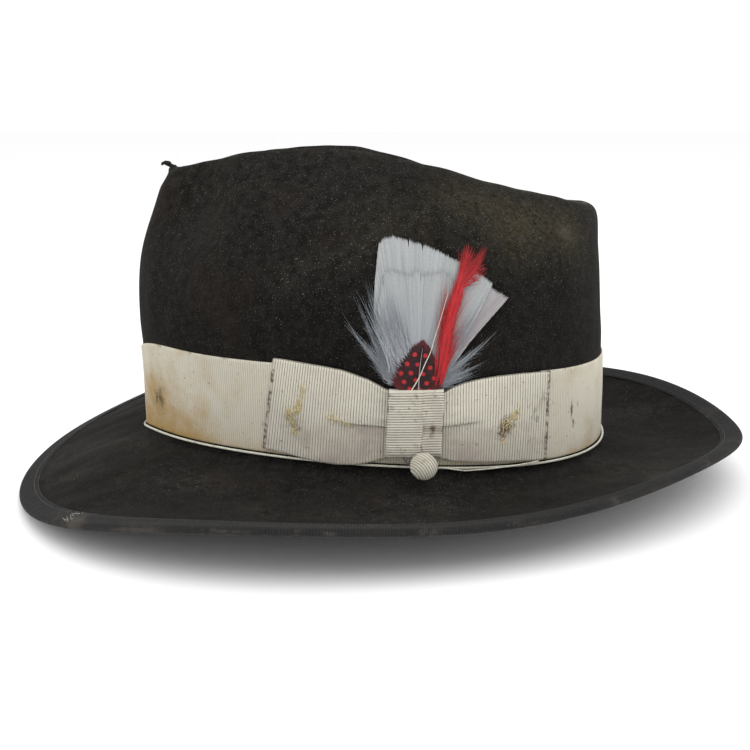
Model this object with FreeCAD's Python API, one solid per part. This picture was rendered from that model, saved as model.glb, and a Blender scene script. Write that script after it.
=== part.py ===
import FreeCAD, Part
import math
import os

# Felt fedora, centre-creased teardrop crown, snapped-down front brim, grosgrain
# hatband with a flat bow, feather mount tucked behind the bow, and a wind
# trolley (elastic cord round the crown base with a covered button).
# Millimetres. +Z up, front of the hat towards -X, rear towards +X, the bow and
# the feathers are on the wearer's left, towards -Y. The origin ends up at the
# bottom centre of the object's box.

V = FreeCAD.Vector
os.makedirs("parts", exist_ok=True)

# ---------------------------------------------------------------- dimensions
SHIFT_X = -4.78          # crown centre to box centre
SHIFT_Z = 27.08          # band plane above the lowest point of the brim
FELT_T = 1.8             # felt thickness
CROWN_A = 102.7          # half length of the crown at its base
CROWN_B = 85.2           # half width of the crown at its base
CROWN_N = 1.98           # superellipse exponent of the crown plan
CROWN_TAPER = 0.141      # rear of the crown is wider than its front
BAND_H = 36.5            # hatband ribbon width
BAND_T = 0.7             # hatband ribbon thickness
BAND_GAP = 0.12          # ribbon to felt
BRIM_CX = 4.55           # brim plan centre
BRIM_A = 159.23          # brim half length
BRIM_B = 141.52          # brim half width
BRIM_N = 2.102
BRIM_TAPER = 0.163       # brim is wider at the front
BIND_W = 8.6             # binding width on each face of the brim
BIND_T = 0.6             # binding thickness
CORD_R = 0.6             # trolley cord radius
BUTTON_R = 5.1           # covered button radius
SWEAT_H = 46.0           # sweatband height
SWEAT_T = 1.1            # sweatband leather thickness
LINING_T = 0.4           # lining thickness
NU = 72                  # control columns round the hat
STEP = 360.0 / NU

# crown profile tables: fraction of the height from the band line to the ridge
WALL_V = [0.0, 0.31, 0.386, 0.45, 0.546, 0.645, 0.707, 0.77, 0.83, 0.893, 0.954, 0.985, 1.0]
FRONT_X = [102.7, 103.2, 104.2, 104.4, 104.3, 103.3, 101.6, 99.5, 96.9, 94.8, 92.0, 89.3, 86.0]
REAR_V = [0.0, 0.31, 0.43, 0.53, 0.656, 0.834, 0.93, 0.97, 0.99, 1.0]
REAR_X = [102.7, 102.1, 101.7, 100.9, 100.4, 99.3, 98.7, 97.6, 95.6, 92.5]
SIDE_V = [0.0, 0.31, 0.42, 0.52, 0.61, 0.70, 0.78, 0.85, 0.91, 0.955, 0.985, 1.0]
SIDE_Y = [85.2, 84.6, 83.6, 81.6, 78.6, 74.6, 69.0, 61.8, 53.6, 46.6, 41.2, 37.5]
RIDGE_X = [-96.0, -89.0, -85.0, -76.0, -66.1, -56.2, -46.4, -36.6, -26.8, -17.1, -7.3,
           2.4, 12.1, 21.9, 31.6, 46.3, 56.1, 65.9, 75.7, 85.6, 92.0, 98.0]
RIDGE_Z = [106.0, 107.0, 107.9, 109.9, 112.0, 114.4, 115.8, 116.6, 117.0, 117.0, 116.4,
           114.9, 113.0, 111.0, 108.6, 104.6, 102.2, 99.8, 97.3, 94.8, 92.9, 91.6]
FLOOR_X = [-95.0, -84.0, -74.0, -64.0, -50.0, -30.0, -10.0, 10.0, 30.0, 50.0, 70.0, 84.0, 98.0]
FLOOR_Z = [107.5, 107.0, 104.5, 100.0, 95.5, 92.5, 91.0, 89.8, 87.6, 84.6, 81.8, 81.0, 82.0]


# ------------------------------------------------------------------- helpers
def interp(x, xs, ys):
    """Monotone cubic interpolation, clamped at both ends."""
    if x <= xs[0]:
        return ys[0]
    if x >= xs[-1]:
        return ys[-1]
    i = 0
    while xs[i + 1] < x:
        i += 1
    n = len(xs)

    def slope(k):
        return (ys[k + 1] - ys[k]) / (xs[k + 1] - xs[k])

    def tangent(k):
        if k == 0:
            return slope(0)
        if k == n - 1:
            return slope(n - 2)
        a, b = slope(k - 1), slope(k)
        if a * b <= 0:
            return 0.0
        return 2 * a * b / (a + b)

    h = xs[i + 1] - xs[i]
    t = (x - xs[i]) / h
    m0, m1 = tangent(i) * h, tangent(i + 1) * h
    return ((2 * t ** 3 - 3 * t ** 2 + 1) * ys[i] + (t ** 3 - 2 * t ** 2 + t) * m0
            + (-2 * t ** 3 + 3 * t ** 2) * ys[i + 1] + (t ** 3 - t ** 2) * m1)


def smooth(t):
    t = max(0.0, min(1.0, t))
    return t * t * (3 - 2 * t)


def mix(a, b, t):
    return a + (b - a) * t


def power(v, n):
    return math.copysign(abs(v) ** (2.0 / n), v)


def front_angle(p):
    """Degrees away from the front of the hat."""
    d = (p - 180.0) % 360.0
    return min(d, 360.0 - d)


# ------------------------------------------------------- the hat's base shape
def band_low(p):
    """Height of the ribbon's lower edge at angle p, degrees from the rear."""
    c = power(math.cos(math.radians(p)), CROWN_N)
    return -2.522 * c - 5.017 * c * c - 4.6 * math.exp(-(front_angle(p) / 17.0) ** 2)


def band_high(p):
    d = front_angle(p)
    return band_low(p) + BAND_H - 1.4 * math.exp(-(d / 14.0) ** 2) + 0.9 * math.exp(-((d - 32.0) / 14.0) ** 2)


def crown_xy(p, v):
    a = math.radians(p)
    c, s = power(math.cos(a), CROWN_N), power(math.sin(a), CROWN_N)
    xf = interp(v, WALL_V, FRONT_X)
    xr = interp(v, REAR_V, REAR_X)
    x = 0.5 * (xr - xf) + 0.5 * (xr + xf) * c
    k = mix(CROWN_TAPER, 0.28, smooth((v - 0.35) / 0.65))
    y = interp(v, SIDE_V, SIDE_Y) * s * (1 + k * c)
    return x, y


def ridge_z(x, y):
    z = interp(x, RIDGE_X, RIDGE_Z)
    if y > 0:
        low = mix(1.6, 5.4, smooth((x + 5.0) / 55.0)) * smooth((97.0 - x) / 22.0)
        z -= low * smooth(y / 22.0)
    return z


def crown_point(p, v):
    x, y = crown_xy(p, v)
    xr, yr = crown_xy(p, 1.0)
    lo = band_low(p)
    z = lo + (ridge_z(xr, yr) - lo) * v
    # pinch dents on both sides of the front
    q = math.exp(-((front_angle(p) - 37.0) / 15.0) ** 2 - ((v - 0.80) / 0.15) ** 2)
    a = math.radians(p)
    x += 8.5 * q * 0.75
    y -= 8.5 * q * 0.9 * (1 if math.sin(a) > 0 else -1)
    return V(x, y, z)


def top_point(p, r):
    """Inside the ridge: r = 1 on the ridge, 0 at the centre of the top."""
    x1, y1 = crown_xy(p, 1.0)
    cx = 8.0
    x, y = mix(cx, x1, r), y1 * r
    w = smooth((r - 0.28) / 0.72)
    floor = interp(x, FLOOR_X, FLOOR_Z)
    z = mix(floor, ridge_z(x1, y1), w)
    return V(x, y, z)


def brim_edge(p):
    a = math.radians(p)
    c, s = math.cos(a), math.sin(a)
    x = BRIM_CX + BRIM_A * power(c, BRIM_N)
    y = BRIM_B * power(s, BRIM_N) * (1 - BRIM_TAPER * c)
    z = (-9.86 + 9.388 * c - 4.594 * math.cos(2 * a) + 2.241 * math.cos(3 * a)
         - 0.888 * math.cos(4 * a) - 1.928 * math.cos(5 * a))
    return V(x, y, z)


def brim_point(p, t):
    """t = 0 at the break, 1 at the edge."""
    w = crown_point(p, 0.0)
    e = brim_edge(p)
    x, y = mix(w.x, e.x, t), mix(w.y, e.y, t)
    base = band_low(p) - 3.6
    d = front_angle(p)
    sag = mix(-1.5, 4.2, smooth((d - 25.0) / 55.0))
    z = mix(base, e.z, t) - sag * math.sin(math.pi * min(1.0, t) ** 0.9)
    return V(x, y, z)


TOP_R = [0.1, 0.2, 0.3, 0.4, 0.5, 0.6, 0.7, 0.79, 0.87, 0.93, 0.97]
WALL_ROWS = [1.0, 0.987, 0.968, 0.94, 0.905, 0.86, 0.81, 0.75, 0.69, 0.62, 0.55, 0.48,
             0.41, 0.34, 0.26, 0.18, 0.11, 0.055, 0.02]
BRIM_ROWS = [0.0, 0.055, 0.13, 0.22, 0.33, 0.44, 0.55, 0.66, 0.76, 0.85, 0.92, 0.965]

ANG = [j * STEP for j in range(NU)]
pole = top_point(0.0, 0.0)
rows = []
for r in TOP_R:
    rows.append([top_point(p, r) for p in ANG])
for v in WALL_ROWS:
    rows.append([crown_point(p, v) for p in ANG])
drop = []
for p in ANG:
    q = crown_point(p, 0.0)
    drop.append(V(q.x, q.y, q.z - 0.6))
rows.append(drop)
for t in BRIM_ROWS:
    rows.append([brim_point(p, t) for p in ANG])
rows.append([brim_point(p, 1.0 - 0.55 / 60.0) for p in ANG])


def row_normals(rs, i, top):
    out = []
    n = len(rs)
    for j in range(NU):
        du = rs[i][(j + 1) % NU] - rs[i][(j - 1) % NU]
        a = rs[i - 1][j] if i > 0 else top
        b = rs[min(i + 1, n - 1)][j]
        q = du.cross(b - a)
        q.normalize()
        out.append(q)
    return out


normals = [row_normals(rows, i, pole) for i in range(len(rows))]
# outward: up on the top of the crown
if normals[3][0].z < 0:
    normals = [[q * -1 for q in r] for r in normals]
inner = [[rows[i][j] - normals[i][j] * FELT_T for j in range(NU)] for i in range(len(rows))]
edge = [[(rows[-1][j] + inner[-1][j]) * 0.5
         + V(brim_edge(ANG[j]).x - rows[-1][j].x, brim_edge(ANG[j]).y - rows[-1][j].y, 0) * 2.2
         for j in range(NU)]]
# edge row: step outwards by half the felt thickness
for j in range(NU):
    d = V(brim_edge(ANG[j]).x - rows[-2][j].x, brim_edge(ANG[j]).y - rows[-2][j].y, 0)
    d.normalize()
    edge[0][j] = (rows[-1][j] + inner[-1][j]) * 0.5 + d * 0.9
inner_pole = V(pole.x, pole.y, pole.z - FELT_T)
net = [[pole] * NU] + rows + edge + inner[::-1] + [[inner_pole] * NU]
N_OUT = 1 + len(rows)     # index of the edge row


def closed_surface(net_rows, periodic_cols):
    """Bicubic surface, periodic across the columns, clamped along the rows."""
    nr = len(net_rows)
    poles = [[net_rows[i][(j - 1) % periodic_cols] for i in range(nr)] for j in range(periodic_cols)]
    s = Part.BSplineSurface()
    s.buildFromPolesMultsKnots(
        poles, [1] * (periodic_cols + 1), [4] + [1] * (nr - 4) + [4],
        [float(k) for k in range(periodic_cols + 1)], [float(k) for k in range(nr - 2)],
        True, False, 3, 3)
    return s


def solid_of(faces):
    sh = Part.makeShell(faces) if len(faces) > 1 else Part.Shell(faces)
    if len(faces) > 1:
        sh.sewShape()
        if sh.ShapeType == "Compound":
            sh = sh.Shells[0]
    so = Part.Solid(sh)
    if so.Volume < 0:
        so.reverse()
    return so


felt = closed_surface(net, NU)
VMAX = float(len(net) - 3)
probe = felt.normal(10.0, 8.0)
NSIGN = 1.0 if probe.z > 0 else -1.0


def S(p, v, d=0.0):
    """Point on the felt's outer skin at angle p, row parameter v, raised by d."""
    u = (p / STEP) % NU
    q = felt.value(u, v)
    if d:
        q = q + felt.normal(u, v) * (NSIGN * d)
    return q


# row parameters of the wall: crest and bottom
V_CREST = float(1 + len(TOP_R)) - 1.0
V_BREAK = V_CREST + len(WALL_ROWS)
V_EDGE = float(N_OUT) - 1.0


def wall_v(p, z):
    lo, hi = V_CREST + 0.5, V_BREAK + 0.6
    for _ in range(26):
        m = 0.5 * (lo + hi)
        if S(p, m).z > z:
            lo = m
        else:
            hi = m
    return 0.5 * (lo + hi)


def wall(p, z, d):
    return S(p, wall_v(p, z), d)


def near(x, z, d, p0=[272.0]):
    """Point above the wearer's-left wall at plan x and height z, raised by d."""
    p = p0[0]
    for _ in range(6):
        q = wall(p, z, d)
        e = x - q.x
        if abs(e) < 0.01:
            break
        q2 = wall(p + 0.5, z, d)
        p += 0.5 * e / (q2.x - q.x)
        p = max(195.0, min(345.0, p))
    return wall(p, z, d)


def near_angle(x, z):
    p = 272.0
    for _ in range(6):
        q = wall(p, z, 0)
        e = x - q.x
        if abs(e) < 0.005:
            break
        q2 = wall(p + 0.5, z, 0)
        p += 0.5 * e / (q2.x - q.x)
        p = max(195.0, min(345.0, p))
    return p


def open_surface(grid):
    """Bicubic surface, clamped both ways, whose poles are pushed out so that it
    runs through the grid points to within a few hundredths."""
    n, m = len(grid), len(grid[0])
    pol = [[V(q) for q in line] for line in grid]
    for i in range(2, n - 2):
        for j in range(m):
            pol[i][j] = grid[i][j] + (grid[i][j] * 2 - grid[i - 1][j] - grid[i + 1][j]) * (1 / 6.0)
    mid = [[V(q) for q in line] for line in pol]
    for i in range(n):
        for j in range(2, m - 2):
            pol[i][j] = mid[i][j] + (mid[i][j] * 2 - mid[i][j - 1] - mid[i][j + 1]) * (1 / 6.0)
    s = Part.BSplineSurface()
    s.buildFromPolesMultsKnots(
        pol, [4] + [1] * (n - 4) + [4], [4] + [1] * (m - 4) + [4],
        [float(k) for k in range(n - 2)], [float(k) for k in range(m - 2)],
        False, False, 3, 3)
    return s


def patch_solid(a, b):
    """Solid between two point grids of the same size, a inside and b outside."""
    sa, sb = open_surface(a), open_surface(b)
    fs = [sa.toShape(), sb.toShape()]
    pa, pb = sa.getPoles(), sb.getPoles()
    pairs = [(pa[0], pb[0]), (pa[-1], pb[-1]),
             ([r[0] for r in pa], [r[0] for r in pb]), ([r[-1] for r in pa], [r[-1] for r in pb])]
    for ea, eb in pairs:
        n = len(ea)
        s = Part.BSplineSurface()
        s.buildFromPolesMultsKnots(
            [[ea[i], eb[i]] for i in range(n)], [4] + [1] * (n - 4) + [4], [2, 2],
            [float(k) for k in range(n - 2)], [0.0, 1.0], False, False, 3, 1)
        fs.append(s.toShape())
    return solid_of(fs)


def tube(points, r, cols=8, closed=False):
    """Round cord through points with rounded closed ends."""
    n = len(points)
    net_rows = []
    prev = None
    for i in range(n):
        t = points[min(i + 1, n - 1)] - points[max(i - 1, 0)]
        t.normalize()
        if prev is None:
            ref = V(0, 0, 1) if abs(t.z) < 0.9 else V(1, 0, 0)
            a = t.cross(ref)
        else:
            a = prev - t * prev.dot(t)
        a.normalize()
        prev = a
        b = t.cross(a)
        k = 1.085
        ring = [points[i] + (a * math.cos(2 * math.pi * j / cols) + b * math.sin(2 * math.pi * j / cols)) * r * k
                for j in range(cols)]
        if i == 0:
            net_rows.append([points[0] - t * r * 0.6] * cols)
            net_rows.append([q - t * r * 0.6 for q in ring])
        net_rows.append(ring)
        if i == n - 1:
            net_rows.append([q + t * r * 0.6 for q in ring])
            net_rows.append([points[i] + t * r * 0.6] * cols)
    return solid_of([closed_surface(net_rows, cols).toShape()])


def blob(centre, axis, up, rings, cols=16):
    """Closed round body: rings of (radius, height along the axis)."""
    side = axis.cross(up)
    side.normalize()
    up2 = side.cross(axis)
    up2.normalize()
    net_rows = [[centre + axis * rings[0][1]] * cols]
    for r, h in rings[1:-1]:
        net_rows.append([centre + axis * h + (side * math.cos(2 * math.pi * j / cols)
                                               + up2 * math.sin(2 * math.pi * j / cols)) * r
                         for j in range(cols)])
    net_rows.append([centre + axis * rings[-1][1]] * cols)
    return solid_of([closed_surface(net_rows, cols).toShape()])


parts = {}

# ---------------------------------------------------------------- felt body
parts["felt_body"] = solid_of([felt.toShape()])

# ------------------------------------------------------------- brim binding
# A folded grosgrain strip over the raw edge, its ends meeting at the left front.
BIND_JOIN = 225.0


def brim_params(p, dist):
    """Row parameter on the top face at dist from the edge, and on the underside."""
    e = S(p, V_EDGE)

    def find(lo, hi):
        for _ in range(24):
            m = 0.5 * (lo + hi)
            if (S(p, m) - e).Length > dist:
                lo = m
            else:
                hi = m
        return 0.5 * (lo + hi)

    return find(V_BREAK + 1.0, V_EDGE), find(V_EDGE * 2.0 - V_BREAK - 1.0, V_EDGE)


def binding_rows(p, count=27):
    """Row parameters spaced evenly along the fold, top face to underside."""
    a, b = brim_params(p, BIND_W)
    vs = [mix(a, V_EDGE - 1.7, k / 10.0) for k in range(10)]
    vs += [V_EDGE - 1.7 + 3.4 * k / 40.0 for k in range(41)]
    vs += [mix(V_EDGE + 1.7, b, k / 10.0) for k in range(1, 11)]
    run = [0.0]
    last = S(p, vs[0], 0.4)
    for v in vs[1:]:
        q = S(p, v, 0.4)
        run.append(run[-1] + (q - last).Length)
        last = q
    out = []
    for k in range(count):
        s = run[-1] * k / (count - 1.0)
        i = 0
        while i < len(run) - 2 and run[i + 1] < s:
            i += 1
        f = (s - run[i]) / max(1e-9, run[i + 1] - run[i])
        out.append(mix(vs[i], vs[i + 1], f))
    return out


BIND_COLS = []
for i in range(181):
    p = BIND_JOIN + 0.12 + (360.0 - 0.24) * i / 180.0
    BIND_COLS.append((p, binding_rows(p)))


def binding_grid(d):
    return [[S(p, v, d) for v in vs] for p, vs in BIND_COLS]


parts["brim_binding"] = patch_solid(binding_grid(0.15), binding_grid(0.15 + BIND_T))

# ---------------------------------------------------------- hatband ribbon
BAND_JOIN = near_angle(18.0, 15.0)

# Upper and lower edge of the bow's wings over plan x. Behind the bow the band is
# drawn together by the knot, so its top edge stays just under the wings'.
WING_TIP_F, WING_TIP_R, WING_MEET = -40.2, 68.2, 18.0
EDGE_X = [-60.0, -40.2, -30.1, -23.1, -16.5, -8.6, -3.7, 1.6, 4.8, 7.0, 18.0,
          29.6, 32.2, 36.4, 42.8, 49.2, 58.1, 68.2, 90.0]
EDGE_TOP = [37.0, 38.2, 38.1, 37.6, 37.0, 35.9, 34.5, 32.5, 30.6, 29.1, 28.8,
            28.8, 29.9, 31.3, 32.3, 32.8, 32.9, 32.3, 31.5]
EDGE_LOW = [2.6, 2.5, 1.4, 0.6, 0.0, -0.6, -0.3, 1.2, 3.4, 4.9, 5.0,
            5.0, 3.2, 1.2, 0.4, -0.5, -1.5, -3.0, -3.6]


def left_x(p):
    """Plan x of the band's middle, or None away from the bow's side."""
    return wall(p, 15.0, 0.0).x if 200.0 < p % 360.0 < 340.0 else None


def band_top(p):
    x = left_x(p)
    hi = band_high(p)
    if x is None or not WING_TIP_F + 2 < x < WING_TIP_R + 6:
        return hi
    return min(hi, interp(x, EDGE_X, EDGE_TOP) - 0.6)


def band_grid(d, lo=0.15, n=241, m=13, gap=0.2, join=BAND_JOIN):
    g = []
    for i in range(n):
        p = join + gap + (360.0 - 2 * gap) * i / (n - 1)
        a, b = band_low(p) + lo, band_top(p)
        g.append([wall(p, mix(a, b, k / (m - 1.0)), d) for k in range(m)])
    return g


parts["hatband_ribbon"] = patch_solid(band_grid(BAND_GAP), band_grid(BAND_GAP + BAND_T))

# ------------------------------------------------------------------- the bow


def wing_grid(x0, x1, face):
    """Columns run from the outer end to the knot. face 0 = back, 1 = front."""
    g = []
    n, m = 25, 13
    for i in range(n):
        f = i / (n - 1.0)
        x = mix(x0, x1, f)
        p = near_angle(x, 15.0)
        zlo, zhi = interp(x, EDGE_X, EDGE_LOW), interp(x, EDGE_X, EDGE_TOP)
        line = []
        for k in range(m):
            g0 = k / (m - 1.0)
            z = mix(zlo, zhi, g0)
            back = mix(1.05, 2.5, smooth(f / 0.5))
            if face == 0:
                d = back
            else:
                d = back + mix(1.15, 1.45, smooth(f / 0.4))
                fold = smooth((f - 0.3) / 0.4)
                d += fold * 0.9 * math.exp(-((g0 - 0.62) / 0.13) ** 2) * (1 - smooth((f - 0.62) / 0.10))
                d -= fold * 0.35 * math.exp(-((g0 - 0.42) / 0.08) ** 2)
                d += 0.6 * math.sin(math.pi * min(1.0, f / 0.72)) ** 2 * math.sin(math.pi * g0)
            line.append(wall(p, z, d))
        g.append(line)
    return g


parts["bow_front_wing"] = patch_solid(wing_grid(WING_TIP_F, WING_MEET - 0.25, 0), wing_grid(WING_TIP_F, WING_MEET - 0.25, 1))
parts["bow_rear_wing"] = patch_solid(wing_grid(WING_TIP_R, WING_MEET + 0.25, 0), wing_grid(WING_TIP_R, WING_MEET + 0.25, 1))


def knot_grid(x0, x1, zlo, zhi, dback, dfront, off):
    """C-shaped wrap over the wings, off = distance of this skin outwards."""
    g = []
    for i in range(6):
        x = mix(x0, x1, i / 5.0)
        p = near_angle(x, 15.0)
        line = []
        path = [(zlo - off, dback), (zlo - off, dfront * 0.62 + dback * 0.38), (zlo - off, dfront - 0.5 + off * 0.6),
                (zlo + 0.6 - off * 0.4, dfront + off), (zlo + 3.0, dfront + off + 0.15)]
        for k in range(1, 6):
            path.append((mix(zlo + 3.0, zhi - 3.0, k / 6.0), dfront + off + 0.15 + 0.35 * math.sin(math.pi * k / 6.0)))
        path += [(zhi - 3.0, dfront + off + 0.15), (zhi - 0.6 + off * 0.4, dfront + off), (zhi + off, dfront - 0.5 + off * 0.6),
                 (zhi + off, dfront * 0.62 + dback * 0.38), (zhi + off, dback)]
        for z, d in path:
            line.append(wall(p, z, d))
        g.append(line)
    return g


parts["bow_knot"] = patch_solid(knot_grid(7.4, 21.1, 4.1, 29.7, 2.45, 4.55, 0.0), knot_grid(7.4, 21.1, 4.1, 29.7, 2.45, 4.55, 0.75))
parts["bow_knot_fold"] = patch_solid(knot_grid(21.3, 29.3, 4.1, 29.7, 2.45, 4.5, 0.0), knot_grid(21.3, 29.3, 4.1, 29.7, 2.45, 4.5, 0.65))

# ------------------------------------------------------------- wind trolley
cord = []
CORD_GAP_P = near_angle(21.9, 4.0)
for i in range(73):
    p = CORD_GAP_P + 0.9 + (360.0 - 1.8) * i / 72.0
    cord.append(wall(p, band_low(p) - 0.65, 1.0 + CORD_R))
parts["trolley_cord"] = tube(cord, CORD_R)

BC = V(21.9, -95.9, 2.0)
BAX = V(0, -math.cos(math.radians(25)), math.sin(math.radians(25)))
BUP = V(0, math.sin(math.radians(25)), math.cos(math.radians(25)))
R = BUTTON_R
parts["button_cover"] = blob(BC, BAX, BUP, [(0, 3.1), (R * 0.35, 3.1), (R * 0.75, 2.55), (R * 1.03, 1.3), (R * 1.06, 0.2),
                                            (R * 0.97, -0.8), (R * 0.8, -1.1), (R * 0.72, -1.1), (R * 0.69, -0.95),
                                            (R * 0.76, -0.6), (R * 0.88, 0.1), (R * 0.83, 1.05), (R * 0.6, 2.05), (R * 0.3, 2.5), (0, 2.5)])
parts["button_mould"] = blob(BC, BAX, BUP, [(0, 2.2), (R * 0.3, 2.2), (R * 0.55, 1.75), (R * 0.72, 0.95), (R * 0.75, 0.2), (R * 0.68, -0.3),
                                            (R * 0.6, -0.8), (R * 0.5, -1.5), (R * 0.2, -1.55), (0, -1.55)])
shank = []
for i in range(13):
    a = math.radians(-90 + 15.0 * i)
    shank.append(BC - BAX * (1.75 + 2.0 * math.cos(a)) + BUP * (2.6 + 1.6 * math.sin(a)))
parts["button_shank"] = tube(shank, 0.35)

# ---------------------------------------------------------- feather mount


def quad_sheet(left, right, thick, m=5, bulge=0.0):
    """Thin sheet between two edge lines of (x, z, d), base to tip."""
    a, b = [], []
    for (x0, z0, d0), (x1, z1, d1) in zip(left, right):
        la, lb = [], []
        for k in range(m):
            t = k / (m - 1.0)
            d = mix(d0, d1, t) + bulge * math.sin(math.pi * t)
            x, z = mix(x0, x1, t), mix(z0, z1, t)
            la.append(near(x, z, d))
            lb.append(near(x, z, d + thick))
        a.append(la)
        b.append(lb)
    return patch_solid(a, b)


parts["feather_quills"] = quad_sheet([(12.5, 12.0, 1.2), (11.5, 22.0, 1.2), (10.8, 30.0, 1.2), (11.5, 37.0, 1.2), (13.0, 42.0, 1.3)],
                                     [(25.5, 12.0, 1.2), (26.0, 22.0, 1.2), (26.5, 30.0, 1.2), (26.0, 37.0, 1.2), (24.0, 42.0, 1.3)], 0.8)
parts["feather_pad_back"] = quad_sheet(
    [(8.5, 44.5, 1.3), (5.0, 56.0, 1.5), (3.8, 68.0, 2.1), (4.8, 78.0, 3.0), (9.5, 85.6, 4.0)],
    [(30.5, 43.5, 1.3), (40.0, 52.0, 1.5), (45.5, 57.0, 2.1), (50.0, 61.0, 3.0), (43.0, 68.0, 4.0)], 0.45)
parts["feather_pad_front"] = quad_sheet(
    [(10.0, 44.0, 2.1), (8.0, 54.0, 2.4), (8.0, 64.0, 3.2), (10.0, 72.5, 4.2)],
    [(28.5, 43.0, 2.1), (35.0, 50.0, 2.4), (39.5, 56.0, 3.2), (38.0, 67.0, 4.2)], 0.45)
parts["fluff_front"] = quad_sheet(
    [(5.4, 38.6, 1.2), (-1.0, 44.0, 1.5), (-7.0, 50.0, 2.0), (-9.5, 57.0, 2.8)],
    [(8.0, 43.4, 1.2), (4.0, 50.0, 1.5), (0.6, 56.0, 2.0), (-3.0, 62.0, 2.8)], 0.5)
parts["fluff_rear"] = quad_sheet(
    [(29.0, 41.0, 2.8), (35.0, 46.0, 3.0), (40.0, 50.0, 3.2), (44.0, 52.5, 3.6)],
    [(28.5, 38.0, 2.8), (36.0, 39.5, 3.0), (43.0, 42.5, 3.2), (48.5, 47.0, 3.6)], 0.5)
parts["guinea_feather"] = quad_sheet(
    [(13.0, 37.5, 3.0), (10.8, 41.5, 3.1), (13.5, 47.0, 3.4), (18.4, 51.0, 3.8)],
    [(27.0, 37.5, 3.0), (28.0, 41.0, 3.1), (26.0, 46.0, 3.4), (22.0, 50.6, 3.8)], 0.5)
parts["red_hackle"] = quad_sheet(
    [(22.5, 41.0, 4.1), (25.5, 50.0, 4.3), (28.6, 60.0, 4.9), (33.0, 70.0, 5.6), (34.5, 80.0, 6.6)],
    [(31.0, 42.0, 4.1), (34.0, 50.0, 4.3), (36.0, 60.0, 4.9), (40.5, 70.0, 5.6), (42.5, 79.0, 6.6)], 0.5)
# binding thread block that holds the stems together
parts["feather_binding"] = quad_sheet([(12.0, 37.6, 2.15), (12.0, 39.0, 2.15), (12.0, 41.0, 2.15), (12.0, 43.0, 2.15)],
                                      [(26.0, 37.6, 2.15), (26.0, 39.0, 2.15), (26.0, 41.0, 2.15), (26.0, 43.0, 2.15)], 0.7)

# ------------------------------------------------------- inside of the hat


def inner_grid(d, zlo_add, zhi_add, join, n=181, m=13, gap=0.2):
    g = []
    for i in range(n):
        p = join + gap + (360.0 - 2 * gap) * i / (n - 1)
        g.append([wall(p, band_low(p) + mix(zlo_add, zhi_add, k / (m - 1.0)), d) for k in range(m)])
    return g


BASE = -(FELT_T)
parts["sweatband"] = patch_solid(inner_grid(BASE - 1.15 - SWEAT_T, 1.6, SWEAT_H, 0.0), inner_grid(BASE - 1.15, 1.6, SWEAT_H, 0.0))
parts["reed_tape"] = patch_solid(inner_grid(BASE - 0.95, 1.4, 5.4, 0.0, m=7, gap=0.5), inner_grid(BASE - 0.2, 1.4, 5.4, 0.0, m=7, gap=0.5))


def lining_side_grid(d):
    g = []
    n, m = 181, 25
    for i in range(n):
        p = 90.0 + 0.2 + (360.0 - 0.4) * i / (n - 1)
        v0 = wall_v(p, band_low(p) + 6.5)
        v1 = V_CREST + 4.6
        g.append([S(p, mix(v0, v1, k / (m - 1.0)), d) for k in range(m)])
    return g


parts["lining_side"] = patch_solid(lining_side_grid(BASE - 0.3 - LINING_T), lining_side_grid(BASE - 0.3))


def lining_tip():
    """Oval top piece of the lining, following the creased crown a little below it."""
    cols = 48
    outer_rows, inner_rows = [], []
    vs = [0.9, 1.8, 2.8, 3.8, 4.8, 5.8, 6.8, 7.8, 8.8, 9.8, 10.8, 11.6, 12.3, 13.1, 14.0, 15.0]
    vs = [v for v in vs if v < V_CREST + 4.3] + [V_CREST + 4.3]
    for v in vs:
        outer_rows.append([S(360.0 * j / cols, v, BASE - 0.55) for j in range(cols)])
        inner_rows.append([S(360.0 * j / cols, v, BASE - 0.55 - LINING_T) for j in range(cols)])
    zt = felt.value(0, 0)
    a = V(zt.x, zt.y, zt.z - FELT_T - 0.55)
    b = V(zt.x, zt.y, zt.z - FELT_T - 0.55 - LINING_T)
    netr = [[a] * cols] + outer_rows + inner_rows[::-1] + [[b] * cols]
    return solid_of([closed_surface(netr, cols).toShape()])


parts["lining_tip"] = lining_tip()


def rear_in(y, z, d):
    """Point inside the rear of the crown, d inwards from the felt's outer skin."""
    p = math.degrees(math.asin(max(-1, min(1, y / 70.0)))) % 360.0
    return wall(p, z, -d)


def sweat_bow():
    a, b = [], []
    d = FELT_T + 1.15 + SWEAT_T + 0.45
    for i in range(17):
        f = i / 16.0
        y = mix(-11.0, 11.0, f)
        w = 2.4 + 2.6 * abs(f - 0.5) * 2
        la, lb = [], []
        for k in range(5):
            z = mix(3.4 - w * 0.5, 3.4 + w * 0.5, k / 4.0)
            la.append(rear_in(y, z, d + 0.9))
            lb.append(rear_in(y, z, d))
        a.append(la)
        b.append(lb)
    return patch_solid(a, b)


parts["sweat_bow"] = sweat_bow()

# ------------------------------------------------------------------- export
for name in parts:
    s = parts[name].copy()
    s.translate(V(SHIFT_X, 0, SHIFT_Z))
    s.exportStep("parts/%s.step" % name)
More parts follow.
